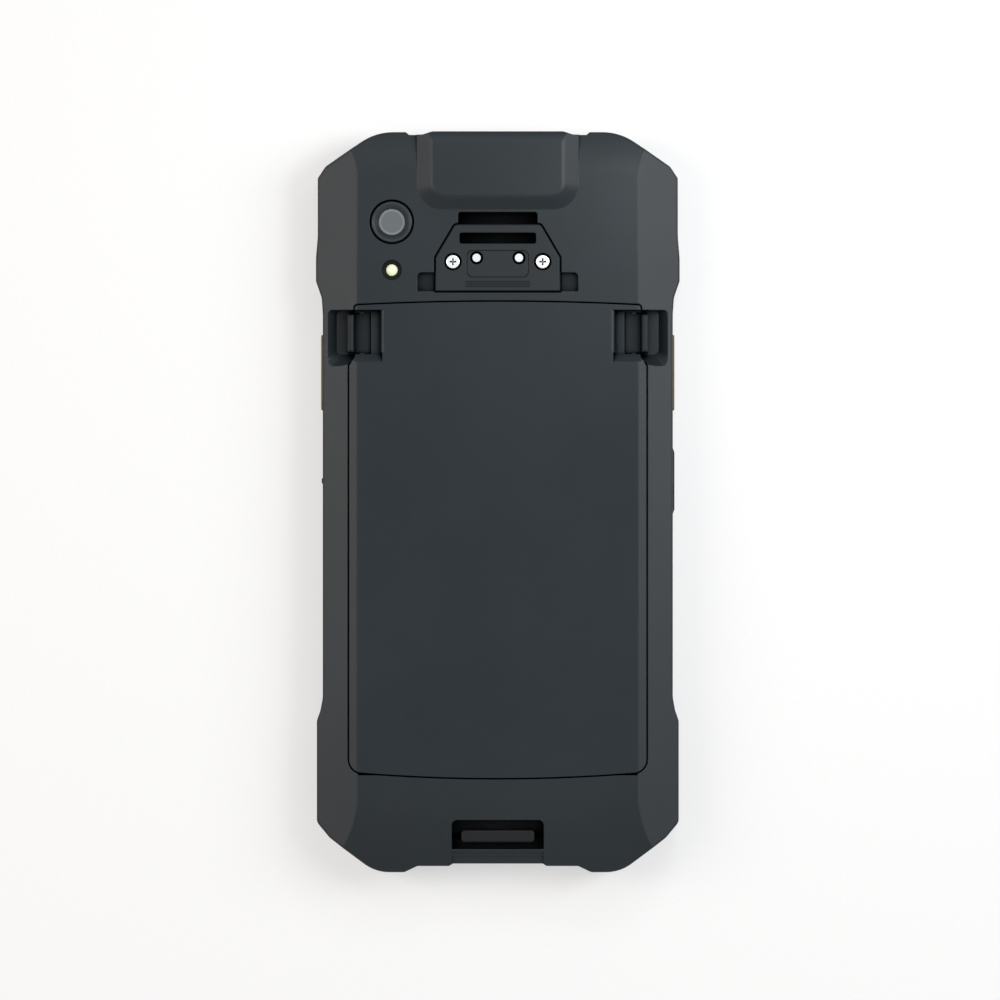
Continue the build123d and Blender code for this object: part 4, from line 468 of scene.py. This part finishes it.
def moulded_finish(
    name, colour, roughness, grain=1.0, specular=0.2, recess=PLAIN_RECESS, lit=None
):
    """Spark-eroded moulded plastic: fine grain, faint flow marks and rubbed edges, with painted
    shade in recesses.

    lit gives the share of the surface that isn't painted black or darkened by painted shade."""
    looks = bpy.context.scene.terminal_shell
    flow_width, handling_width, speck_width = 22 * MM, 6 * MM, 1.7 * looks.grain_size
    speck_share, speck_tint, rubbed_tint = 0.35, 1.3, 2.6
    unevenness, polish = 0.007, 0.12
    finish = Finish(name)
    flow = finish.noise(flow_width, detail=3.0)
    handling = finish.noise(handling_width, detail=4.0)
    speck = finish.noise(speck_width, detail=1.0)
    edge = finish.edge_share(looks.edge_width)
    worn = finish.product(edge, finish.ramp(handling, *NOISE_MIDDLE, 0.3, 1.0))
    base = finish.blend(
        finish.ramp(flow, *NOISE_RANGE), tinted(colour, 0.9), tinted(colour, 1.1)
    )
    grained = finish.blend(
        finish.ramp(speck, *NOISE_MIDDLE, to_high=speck_share), base, tinted(colour, speck_tint)
    )
    rubbed = finish.blend(
        finish.product(worn, looks.edge_wear), grained, tinted(colour, rubbed_tint)
    )
    # Painted shade: the colour and its reflection darken deep in recesses and where lit says
    open_share = finish.openness(looks.recess_reach, *recess)
    if lit:
        open_share = finish.product(open_share, lit(finish))
    grains = finish.noise(looks.grain_size)
    matt = finish.ramp(
        handling, *NOISE_RANGE, roughness + unevenness, roughness - unevenness
    )
    finish.set(
        Base_Color=finish.shaded(open_share, rubbed),
        Roughness=finish.sum(matt, finish.product(worn, -polish)),
        Specular_IOR_Level=specular,
        Specular_Tint=finish.shaded(open_share, WHITE),
        Normal=finish.bump(
            grains, looks.grain_depth * grain, finish.soft_normal(looks.edge_width)
        ),
    )
    return finish.material


def smooth_finish(name, colour, roughness, specular=0.4, recess=None):
    """Smooth moulded plastic with a faint orange-peel surface and fine scuffs, and painted shade
    in recesses when recess is given.
    """
    looks = bpy.context.scene.terminal_shell
    peel_width, peel_depth = 1.1 * MM, 0.006 * MM
    scuff_width, scuff_roughness, handling_width = 1.4 * MM, 0.06, 4 * MM
    finish = Finish(name)
    along_scuffs = finish.stretched(1.0, 0.12, 0.5)
    peel = finish.noise(peel_width)
    scuffs = finish.noise(scuff_width, detail=5.0, vector=along_scuffs)
    handling = finish.noise(handling_width, detail=3.0)
    base = finish.blend(
        finish.ramp(handling, *NOISE_RANGE), tinted(colour, 0.92), tinted(colour, 1.1)
    )
    # Painted shade: the colour and its reflection darken deep in recesses
    if recess:
        open_share = finish.openness(looks.recess_reach, *recess)
        base = finish.shaded(open_share, base)
        finish.set(Specular_Tint=finish.shaded(open_share, WHITE))
    finish.set(
        Base_Color=base,
        Roughness=finish.ramp(scuffs, *NOISE_UPPER, roughness, roughness + scuff_roughness),
        Specular_IOR_Level=specular,
        Normal=finish.bump(peel, peel_depth, finish.soft_normal(looks.edge_width)),
    )
    return finish.material


def metal_finish(name, colour, roughness, recess_reach=None, lit=None):
    """Plated metal with fine drawing lines, dull patches and painted shade in recesses.

    lit gives the share of the surface that isn't darkened by painted shade."""
    line_width, line_depth, edge_width = 0.09 * MM, 0.002 * MM, 0.06 * MM
    patch_width, patch_tint, shinier, duller = 2.5 * MM, 0.82, 0.04, 0.08
    finish = Finish(name)
    lines = finish.noise(line_width, vector=finish.stretched(1.0, 0.03, 1.0))
    patches = finish.noise(patch_width, detail=4.0)
    base = finish.blend(
        finish.ramp(patches, *NOISE_PATCHES), colour, tinted(colour, patch_tint)
    )
    # Painted shade darkens the colour in recesses and where lit says
    if recess_reach:
        base = finish.shaded(finish.openness(recess_reach, *METAL_RECESS), base)
    if lit:
        base = finish.shaded(lit(finish), base)
    finish.set(
        Base_Color=base,
        Metallic=1.0,
        Roughness=finish.ramp(patches, *NOISE_RANGE, roughness - shinier, roughness + duller),
        Normal=finish.bump(lines, line_depth, finish.soft_normal(edge_width)),
    )
    return finish.material


def glass_finish(name, colour, roughness, transmission, coat=1.0, barrel=None):
    """Glass over a dark or tinted depth, with a trace of dust on it.

    barrel names the round pane under which the pale rim of a lens barrel shows."""
    speck_width, smear_width, smear_roughness = 0.6 * MM, 7 * MM, 0.05
    lens_share, rim_softness, rim_tint = 0.80, 0.05, 1.7
    finish = Finish(name)
    smears = finish.noise(smear_width, vector=finish.stretched(1.0, 0.5, 1.0))
    base = finish.dusty(speck_width, colour, colour)
    if barrel:
        centre, radius = round_top(barrel)
        outside_lens = finish.away_from(centre, lens_share * radius, rim_softness * radius)
        base = finish.blend(outside_lens, base, tinted(colour, rim_tint))
    finish.set(
        Base_Color=base,
        Roughness=finish.ramp(smears, *NOISE_PATCHES, roughness, roughness + smear_roughness),
        Transmission_Weight=transmission,
        IOR=GLASS_IOR,
        Coat_Weight=coat,
        Coat_Roughness=0.03,
    )
    return finish.material


def touch_glass_finish(name, colour, screen_colour):
    """Glass printed black round the dark display, with a spot of lens in the print."""
    speck_width, smear_width, edge_softness = 0.5 * MM, 9 * MM, 0.05 * MM
    lens_share, lens_colour = 0.45, (0.004, 0.006, 0.014)
    bezel_share, bezel_colour = 0.7, (0.03, 0.03, 0.03)
    finish = Finish(name)
    smears = finish.noise(smear_width, detail=3.0, vector=finish.stretched(1.0, 0.4, 1.0))
    screen = finish.within(*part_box("display_panel"), 2 * edge_softness)
    base = finish.blend(screen, colour, screen_colour)
    dusty = finish.dusty(speck_width, base, screen_colour)
    centre, radius = round_top("front_camera")
    outside_lens = finish.away_from(centre, lens_share * radius, edge_softness)
    outside_bezel = finish.away_from(centre, bezel_share * radius, edge_softness)
    ringed = finish.blend(outside_bezel, bezel_colour, dusty)
    finish.set(
        Base_Color=finish.blend(outside_lens, lens_colour, ringed),
        Roughness=finish.ramp(smears, *NOISE_PATCHES, 0.03, 0.08),
        IOR=GLASS_IOR,
    )
    return finish.material


def board_finish(name, colour):
    """Solder mask over buried copper tracks."""
    track_spacing, track_height, ripple_width = 6 * MM, 0.02 * MM, 1.5 * MM
    finish = Finish(name)
    tracks = finish.add(
        "ShaderNodeTexBrick",
        {
            "Vector": finish.stretched(1.0, 1.0, 0.0),
            "Scale": 1 / track_spacing,
            "Mortar Size": 0.03,
            "Color1": opaque(colour),
            "Color2": opaque(tinted(colour, 0.85)),
            "Mortar": opaque(tinted(colour, 1.6)),
        },
    )
    ripples = finish.noise(ripple_width, detail=3.0)
    finish.set(
        Base_Color=tracks.outputs["Color"],
        Roughness=finish.ramp(ripples, *NOISE_RANGE, 0.28, 0.4),
        Coat_Weight=0.3,
        Normal=finish.bump(tracks.outputs["Fac"], -track_height),
    )
    return finish.material


def lamp_finish(name, colour):
    """Pale phosphor under the flash lens."""
    grain_width, grain_depth = 0.08 * MM, 0.01 * MM
    finish = Finish(name)
    grains = finish.noise(grain_width)
    finish.set(
        Base_Color=finish.blend(
            finish.ramp(grains, *NOISE_RANGE), tinted(colour, 0.9), tinted(colour, 1.08)
        ),
        Roughness=0.6,
        Normal=finish.bump(grains, grain_depth),
    )
    return finish.material


# --------------------------------------------------------------- operators


class TerminalOperator:
    """Shared by the operators that dress the terminal."""

    bl_options = {"REGISTER", "UNDO"}

    @property
    def shell(self):
        return bpy.context.scene.terminal_shell

    @property
    def fittings(self):
        return bpy.context.scene.terminal_fittings


class TERMINAL_OT_housings(TerminalOperator, bpy.types.Operator):
    """Dress the front and rear housings, their seal and their screws"""

    bl_idname = "terminal.housings"
    bl_label = "Housings"

    def dish_and_well_shade(self, finish):
        """The dish round the flash lens is painted black, and painted shade darkens the floors of
        the wells at the plate.
        """
        dish_share, well_shade_level = 0.35, 0.3
        well_floor, well_rim = 3.8 * MM, 0.4 * MM
        centre, _ = round_top("flash_lens")
        dish = finish.away_from(centre, self.fittings.dish_radius, 0.05 * MM, dish_share)
        # Painted shade on the floors of the strap slot and the side pockets by the plate
        low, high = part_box("strap_plate")
        start = (low[0] - self.fittings.side_pocket, low[1])
        end = (high[0] + self.fittings.side_pocket, high[1] + self.fittings.strap_slot)
        in_wells = finish.within(start, end, 0.1 * MM)
        beside_wells = finish.ramp(in_wells, 0.0, 1.0, 1.0, well_shade_level)
        above_floor = finish.raised(high[2] - well_floor, high[2] - well_rim)
        wells = finish.sum(beside_wells, above_floor, "MAXIMUM")
        return finish.product(dish, wells)

    def execute(self, context):
        # The rear housing gets painted shade in its recesses and on the well floors by the plate
        rear = moulded_finish(
            "rear_housing_plastic",
            self.shell.housing_colour,
            roughness=0.36,
            recess=HOUSING_RECESS,
            lit=self.dish_and_well_shade,
        )
        front = moulded_finish("front_housing_plastic", self.shell.front_colour, roughness=0.52)
        seal = smooth_finish(
            "seal_silicone", self.shell.black_colour, roughness=0.6, specular=0.3
        )
        screw = metal_finish(
            "housing_screw_zinc", tinted(self.fittings.steel_colour, 0.4), roughness=0.4
        )
        wear(rear, "rear_housing")
        wear(front, "front_housing")
        wear(seal, "housing_seal")
        wear(screw, "housing_screws")
        return {"FINISHED"}


class TERMINAL_OT_battery_pack(TerminalOperator, bpy.types.Operator):
    """Dress the battery pack: cover, tub, cell, board, pads and latch springs"""

    bl_idname = "terminal.battery_pack"
    bl_label = "Battery pack"

    def wind_latch_coil(self, side):
        """A copy of one latch spring in its place, on the battery body, with the spring itself
        hidden.
        """
        node = f"latch_spring_{side}"
        coil = bpy.data.objects.new(f"latch_coil_{side}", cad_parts[node].data.copy())
        bpy.context.scene.collection.objects.link(coil)
        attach(coil, "battery")
        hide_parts(node)
        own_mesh(coil)

    def execute(self, context):
        steel = self.fittings.steel_colour
        # The cover gets painted shade in its recesses
        cover = moulded_finish(
            "battery_cover_plastic",
            self.shell.cover_colour,
            roughness=0.36,
            recess=COVER_RECESS,
        )
        # The tub gets painted shade in its recesses
        tub = smooth_finish(
            "battery_tub_plastic",
            self.shell.black_colour,
            roughness=0.45,
            recess=PLAIN_RECESS,
        )
        laminate = metal_finish("cell_laminate", tinted(steel, 0.8), roughness=0.42)
        board = board_finish("battery_board_mask", self.fittings.board_colour)
        pads = metal_finish("pad_gold", self.fittings.gold_colour, roughness=0.25)
        wire = metal_finish("latch_spring_wire", tinted(steel, 0.25), roughness=0.3)
        wear(cover, "battery_cover")
        wear(tub, "battery_tub")
        wear(laminate, "battery_cell")
        wear(board, "battery_board")
        wear(pads, "battery_pads")
        wear(wire, "latch_spring_left", "latch_spring_right")
        self.wind_latch_coil("left")
        self.wind_latch_coil("right")
        return {"FINISHED"}


class TERMINAL_OT_latches(TerminalOperator, bpy.types.Operator):
    """Dress the two sliding battery latches"""

    bl_idname = "terminal.latches"
    bl_label = "Battery latches"

    def execute(self, context):
        # The latches get painted shade in their recesses
        plastic = moulded_finish(
            "latch_plastic",
            self.shell.trim_colour,
            roughness=0.46,
            grain=0.7,
            specular=0.14,
            recess=LATCH_RECESS,
        )
        wear(plastic, "latch_left", "latch_right")
        return {"FINISHED"}


class TERMINAL_OT_camera(TerminalOperator, bpy.types.Operator):
    """Dress the camera and its flash lamp"""

    bl_idname = "terminal.camera"
    bl_label = "Camera and flash"

    def execute(self, context):
        ring = smooth_finish("camera_ring_gloss", self.shell.trim_colour, roughness=0.3)
        window = glass_finish(
            "camera_window_glass",
            self.fittings.pane_colour,
            roughness=0.06,
            transmission=0.35,
            barrel="camera_window",
        )
        module = smooth_finish("camera_module_black", self.shell.black_colour, roughness=0.3)
        dome = glass_finish(
            "flash_lens_clear", self.fittings.flash_colour, roughness=0.3, transmission=0.08
        )
        phosphor = lamp_finish("flash_phosphor", self.fittings.lamp_colour)
        wear(ring, "camera_ring")
        wear(window, "camera_window")
        wear(module, "camera_module")
        wear(dome, "flash_lens")
        wear(phosphor, "flash_lamp")
        return {"FINISHED"}


class TERMINAL_OT_accessory_plate(TerminalOperator, bpy.types.Operator):
    """Dress the accessory plate, its screws and contacts, and the lower strap bar"""

    bl_idname = "terminal.accessory_plate"
    bl_label = "Accessory plate"

    def outside_ring_shade(self, finish):
        """Painted shade makes the groove round each contact dark."""
        centres, _ = round_tops("contact_pins")
        return finish.away_from(centres, self.fittings.contact_ring, 0.03 * MM)

    def faces_inside_rim_shade(self, finish):
        """A contact is bright inside its rim, which painted shade makes dark."""
        centres, _ = round_tops("contact_pins")
        rim = finish.away_from(centres, self.fittings.contact_face, 0.08 * MM)
        return finish.sum(1.0, rim, "SUBTRACT")

    def bar_shade_below_top(self, finish):
        """Painted shade darkens the strap bar below its top."""
        low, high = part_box("tether_bar")
        return finish.raised((low[2] + high[2]) / 2, high[2] - 0.5 * MM)

    def execute(self, context):
        trim = self.shell.trim_colour
        plated = self.fittings.screw_colour
        plate = moulded_finish("plate_plastic", trim, roughness=0.48, grain=0.6)
        bar = moulded_finish(
            "tether_bar_plastic",
            self.shell.black_colour,
            roughness=0.5,
            grain=0.6,
            specular=0.16,
            lit=self.bar_shade_below_top,
        )
        insert = moulded_finish(
            "contact_insert_plastic", trim, roughness=0.42, grain=0.2, lit=self.outside_ring_shade
        )
        # Painted shade in the screws' cross recesses
        screws = metal_finish(
            "plate_screw_nickel", plated, roughness=0.2, recess_reach=0.5 * MM
        )
        pins = metal_finish(
            "contact_pin_nickel", plated, roughness=0.18, lit=self.faces_inside_rim_shade
        )
        wear(plate, "strap_plate")
        wear(bar, "tether_bar")
        wear(insert, "contact_insert")
        wear(screws, "plate_screws")
        wear(pins, "contact_pins")
        return {"FINISHED"}


class TERMINAL_OT_keys(TerminalOperator, bpy.types.Operator):
    """Dress the side keys and the power key with their switches"""

    bl_idname = "terminal.keys"
    bl_label = "Keys"

    def execute(self, context):
        amber = smooth_finish(
            "amber_key_plastic", self.shell.amber_colour, roughness=0.42, specular=0.15
        )
        black = moulded_finish(
            "black_key_plastic", self.shell.trim_colour, roughness=0.46, grain=0.6
        )
        dome = metal_finish("switch_dome_steel", self.fittings.steel_colour, roughness=0.3)
        wear(amber, "scan_button_left", "scan_button_right")
        wear(black, "talk_button", "volume_rocker", "power_button")
        wear(dome, "key_switches")
        return {"FINISHED"}


class TERMINAL_OT_scanner(TerminalOperator, bpy.types.Operator):
    """Dress the scan engine, its bracket, lens and window"""

    bl_idname = "terminal.scanner"
    bl_label = "Scanner"

    def execute(self, context):
        pane = glass_finish(
            "scan_window_pane",
            self.fittings.scan_colour,
            roughness=0.05,
            transmission=0.5,
            coat=0.0,
        )
        engine = smooth_finish("scan_engine_black", self.shell.black_colour, roughness=0.4)
        lens = glass_finish(
            "scan_lens_glass", self.fittings.scan_lens_colour, roughness=0.03, transmission=0.8
        )
        bracket = metal_finish("scan_bracket_steel", self.fittings.steel_colour, roughness=0.34)
        wear(pane, "scan_window")
        wear(engine, "scan_engine")
        wear(lens, "scan_lens")
        wear(bracket, "scan_bracket")
        return {"FINISHED"}


class TERMINAL_OT_display_side(TerminalOperator, bpy.types.Operator):
    """Dress the touch glass, display, receiver and front camera"""

    bl_idname = "terminal.display_side"
    bl_label = "Display side"

    def execute(self, context):
        black = self.shell.black_colour
        screen = self.fittings.screen_colour
        mesh_colour = tinted(self.fittings.steel_colour, 0.3)
        glass = touch_glass_finish("touch_glass_print", self.fittings.glass_colour, screen)
        panel = glass_finish("display_face", screen, roughness=0.1, transmission=0.0)
        foam = smooth_finish("adhesive_foam", black, roughness=0.7, specular=0.2)
        mesh = metal_finish("receiver_mesh_steel", mesh_colour, roughness=0.35)
        receiver = smooth_finish("receiver_body", black, roughness=0.4)
        camera = smooth_finish("front_camera_black", black, roughness=0.15)
        wear(glass, "touch_glass")
        wear(panel, "display_panel")
        wear(foam, "glass_adhesive")
        wear(mesh, "receiver_mesh")
        wear(receiver, "receiver")
        wear(camera, "front_camera")
        return {"FINISHED"}


class TERMINAL_OT_inside(TerminalOperator, bpy.types.Operator):
    """Dress the chassis, boards, cans, sockets and other inner pieces"""

    bl_idname = "terminal.inside"
    bl_label = "Inner pieces"

    def execute(self, context):
        steel = self.fittings.steel_colour
        cast = metal_finish("mid_frame_cast", tinted(steel, 0.75), roughness=0.45)
        board = board_finish("main_board_mask", self.fittings.board_colour)
        tin = metal_finish("shield_can_tin", steel, roughness=0.35)
        shell = metal_finish("usb_shell_nickel", steel, roughness=0.25)
        motor = metal_finish("motor_can_steel", steel, roughness=0.28)
        gold = metal_finish("contact_gold_plate", self.fittings.gold_colour, roughness=0.25)
        block = smooth_finish("connector_black", self.shell.black_colour, roughness=0.42)
        wear(cast, "mid_frame")
        wear(board, "main_board")
        wear(tin, "shield_cans")
        wear(shell, "usb_port")
        wear(motor, "vibration_motor")
        wear(gold, "connector_springs", "dock_contacts")
        wear(block, "battery_connector", "speaker")
        return {"FINISHED"}


class TERMINAL_OT_stage(TerminalOperator, bpy.types.Operator):
    """Lay the floor, hang the lamps and place the camera"""

    bl_idname = "terminal.stage"
    bl_label = "Stage"

    def execute(self, context):
        stage = context.scene.terminal_stage
        lay_floor(stage)
        light_surround(stage)
        hang_lamps(stage)
        place_camera(stage)
        context.scene.view_settings.view_transform = "Standard"
        return {"FINISHED"}


# ------------------------------------------------------------------- stage


def seen_white(tree):
    """Socket that is 1 for camera, glossy and transmission rays, and 0 for others."""
    path = tree.nodes.new("ShaderNodeLightPath")
    total = path.outputs["Is Camera Ray"]
    for ray in ("Is Glossy Ray", "Is Transmission Ray"):
        most = tree.nodes.new("ShaderNodeMath")
        most.operation = "MAXIMUM"
        tree.links.new(total, most.inputs[0])
        tree.links.new(path.outputs[ray], most.inputs[1])
        total = most.outputs["Value"]
    return total


def lay_floor(stage):
    """A pale matt floor under the terminal that looks white and keeps its shadow."""
    mesh = bpy.data.meshes.new("floor")
    shape = bmesh.new()
    bmesh.ops.create_grid(
        shape,
        x_segments=FLOOR_SEGMENTS,
        y_segments=FLOOR_SEGMENTS,
        size=stage.floor_size / 2,
    )
    shape.to_mesh(mesh)
    shape.free()
    floor = bpy.data.objects.new("floor", mesh)
    bpy.context.scene.collection.objects.link(floor)
    mesh.materials.append(floor_finish("floor_paper", stage.floor_glow))


def floor_finish(name, glow_share):
    """Matt white paper that goes this far to plain white where the camera sees it."""
    fibre_width, fibre_depth = 0.8 * MM, 0.01 * MM
    finish = Finish(name)
    fibre = finish.noise(fibre_width, detail=3.0)
    finish.set(
        Base_Color=finish.blend(
            finish.ramp(fibre, *NOISE_RANGE), tinted(WHITE, 0.9), tinted(WHITE, 0.93)
        ),
        Roughness=0.9,
        Specular_IOR_Level=0.1,
        Normal=finish.bump(fibre, fibre_depth),
    )
    glow = finish.add("ShaderNodeEmission", {"Strength": BACKDROP_WHITE})
    mix = finish.add(
        "ShaderNodeMixShader",
        {
            0: finish.product(seen_white(finish.tree), glow_share),
            1: finish.shader.outputs["BSDF"],
            2: glow.outputs["Emission"],
        },
    )
    output = finish.tree.nodes["Material Output"]
    finish.join(output.inputs["Surface"], mix.outputs["Shader"])
    return finish.material


def light_surround(stage):
    """A plain white surround, dimmer as light than as background."""
    world = bpy.data.worlds.new("studio_surround")
    world.use_nodes = True
    tree = world.node_tree
    background = tree.nodes["Background"]
    background.inputs["Color"].default_value = opaque(WHITE)
    level = tree.nodes.new("ShaderNodeMapRange")
    level.inputs["To Min"].default_value = stage.surround_light
    level.inputs["To Max"].default_value = BACKDROP_WHITE
    tree.links.new(seen_white(tree), level.inputs["Value"])
    tree.links.new(level.outputs["Result"], background.inputs["Strength"])
    bpy.context.scene.world = world


def hang_lamp(name, place, target, size, power, colour):
    """A soft rectangular lamp at a place, turned to a target."""
    lamp = bpy.data.lights.new(name, "AREA")
    lamp.shape = "RECTANGLE"
    lamp.size, lamp.size_y = size
    lamp.energy = power
    lamp.color = colour
    holder = bpy.data.objects.new(name, lamp)
    holder.location = place
    holder.rotation_euler = (
        (Vector(target) - Vector(place)).to_track_quat("-Z", "X").to_euler()
    )
    bpy.context.scene.collection.objects.link(holder)


def hang_lamps(stage):
    """Strip boxes whose light the side facets return, and soft ones above the scanner end."""
    middle = (0, 0.01, 0.01)
    scanner_corner = (0.035, 0.06, 0.015)
    warm, plain, cool = (1.0, 0.9, 0.82), (0.97, 0.98, 1.0), (0.93, 0.97, 1.0)
    strip, box, small_box = (0.7, 0.3), (0.4, 0.3), (0.05, 0.05)
    # Name, place, target, size, share of the lamp power and colour
    lamps = [
        ("left_strip", (-0.6, 0.08, 0.62), middle, strip, 1.1, warm),
        ("right_strip", (0.6, 0.16, 0.62), middle, strip, 1.65, plain),
        ("upper_box", (0.14, 0.4, 0.7), middle, box, 0.3, cool),
        ("corner_box", (0.055, 0.085, 0.15), scanner_corner, small_box, 0.022, cool),
    ]
    for name, place, target, size, share, colour in lamps:
        hang_lamp(name, place, target, size, stage.lamp_power * share, colour)


def place_camera(stage):
    """A long lens straight above the back, with the scanner end at the top."""
    camera = bpy.data.cameras.new("back_view")
    camera.lens = stage.lens_length
    camera.sensor_width = SENSOR_WIDTH
    camera.clip_end = CAMERA_REACH
    distance = stage.view_width * camera.lens / camera.sensor_width
    holder = bpy.data.objects.new("back_view", camera)
    holder.location = Vector(stage.view_centre) + Vector((0, 0, distance))
    bpy.context.scene.collection.objects.link(holder)
    bpy.context.scene.camera = holder


# ------------------------------------------------------- panel and running


OPERATORS = [
    TERMINAL_OT_housings,
    TERMINAL_OT_battery_pack,
    TERMINAL_OT_latches,
    TERMINAL_OT_camera,
    TERMINAL_OT_accessory_plate,
    TERMINAL_OT_keys,
    TERMINAL_OT_scanner,
    TERMINAL_OT_display_side,
    TERMINAL_OT_inside,
    TERMINAL_OT_stage,
]


class TERMINAL_PT_sidebar(bpy.types.Panel):
    """Lists the steps that dress the terminal"""

    bl_label = "Portable data terminal"
    bl_space_type = "VIEW_3D"
    bl_region_type = "UI"
    bl_category = "Terminal"

    def draw(self, context):
        for operator in OPERATORS:
            self.layout.operator(operator.bl_idname)


SETTINGS = {
    "terminal_shell": TerminalShellSettings,
    "terminal_fittings": TerminalFittingSettings,
    "terminal_stage": TerminalStageSettings,
}


def register():
    for settings in SETTINGS.values():
        bpy.utils.register_class(settings)
    for operator in OPERATORS:
        bpy.utils.register_class(operator)
    bpy.utils.register_class(TERMINAL_PT_sidebar)
    for name, settings in SETTINGS.items():
        setattr(bpy.types.Scene, name, bpy.props.PointerProperty(type=settings))


def unregister():
    for name in SETTINGS:
        delattr(bpy.types.Scene, name)
    bpy.utils.unregister_class(TERMINAL_PT_sidebar)
    for operator in reversed(OPERATORS):
        bpy.utils.unregister_class(operator)
    for settings in reversed(SETTINGS.values()):
        bpy.utils.unregister_class(settings)


def main():
    register()
    for operator in OPERATORS:
        group, step = operator.bl_idname.split(".")
        getattr(getattr(bpy.ops, group), step)()


if __name__ == "__main__":
    main()
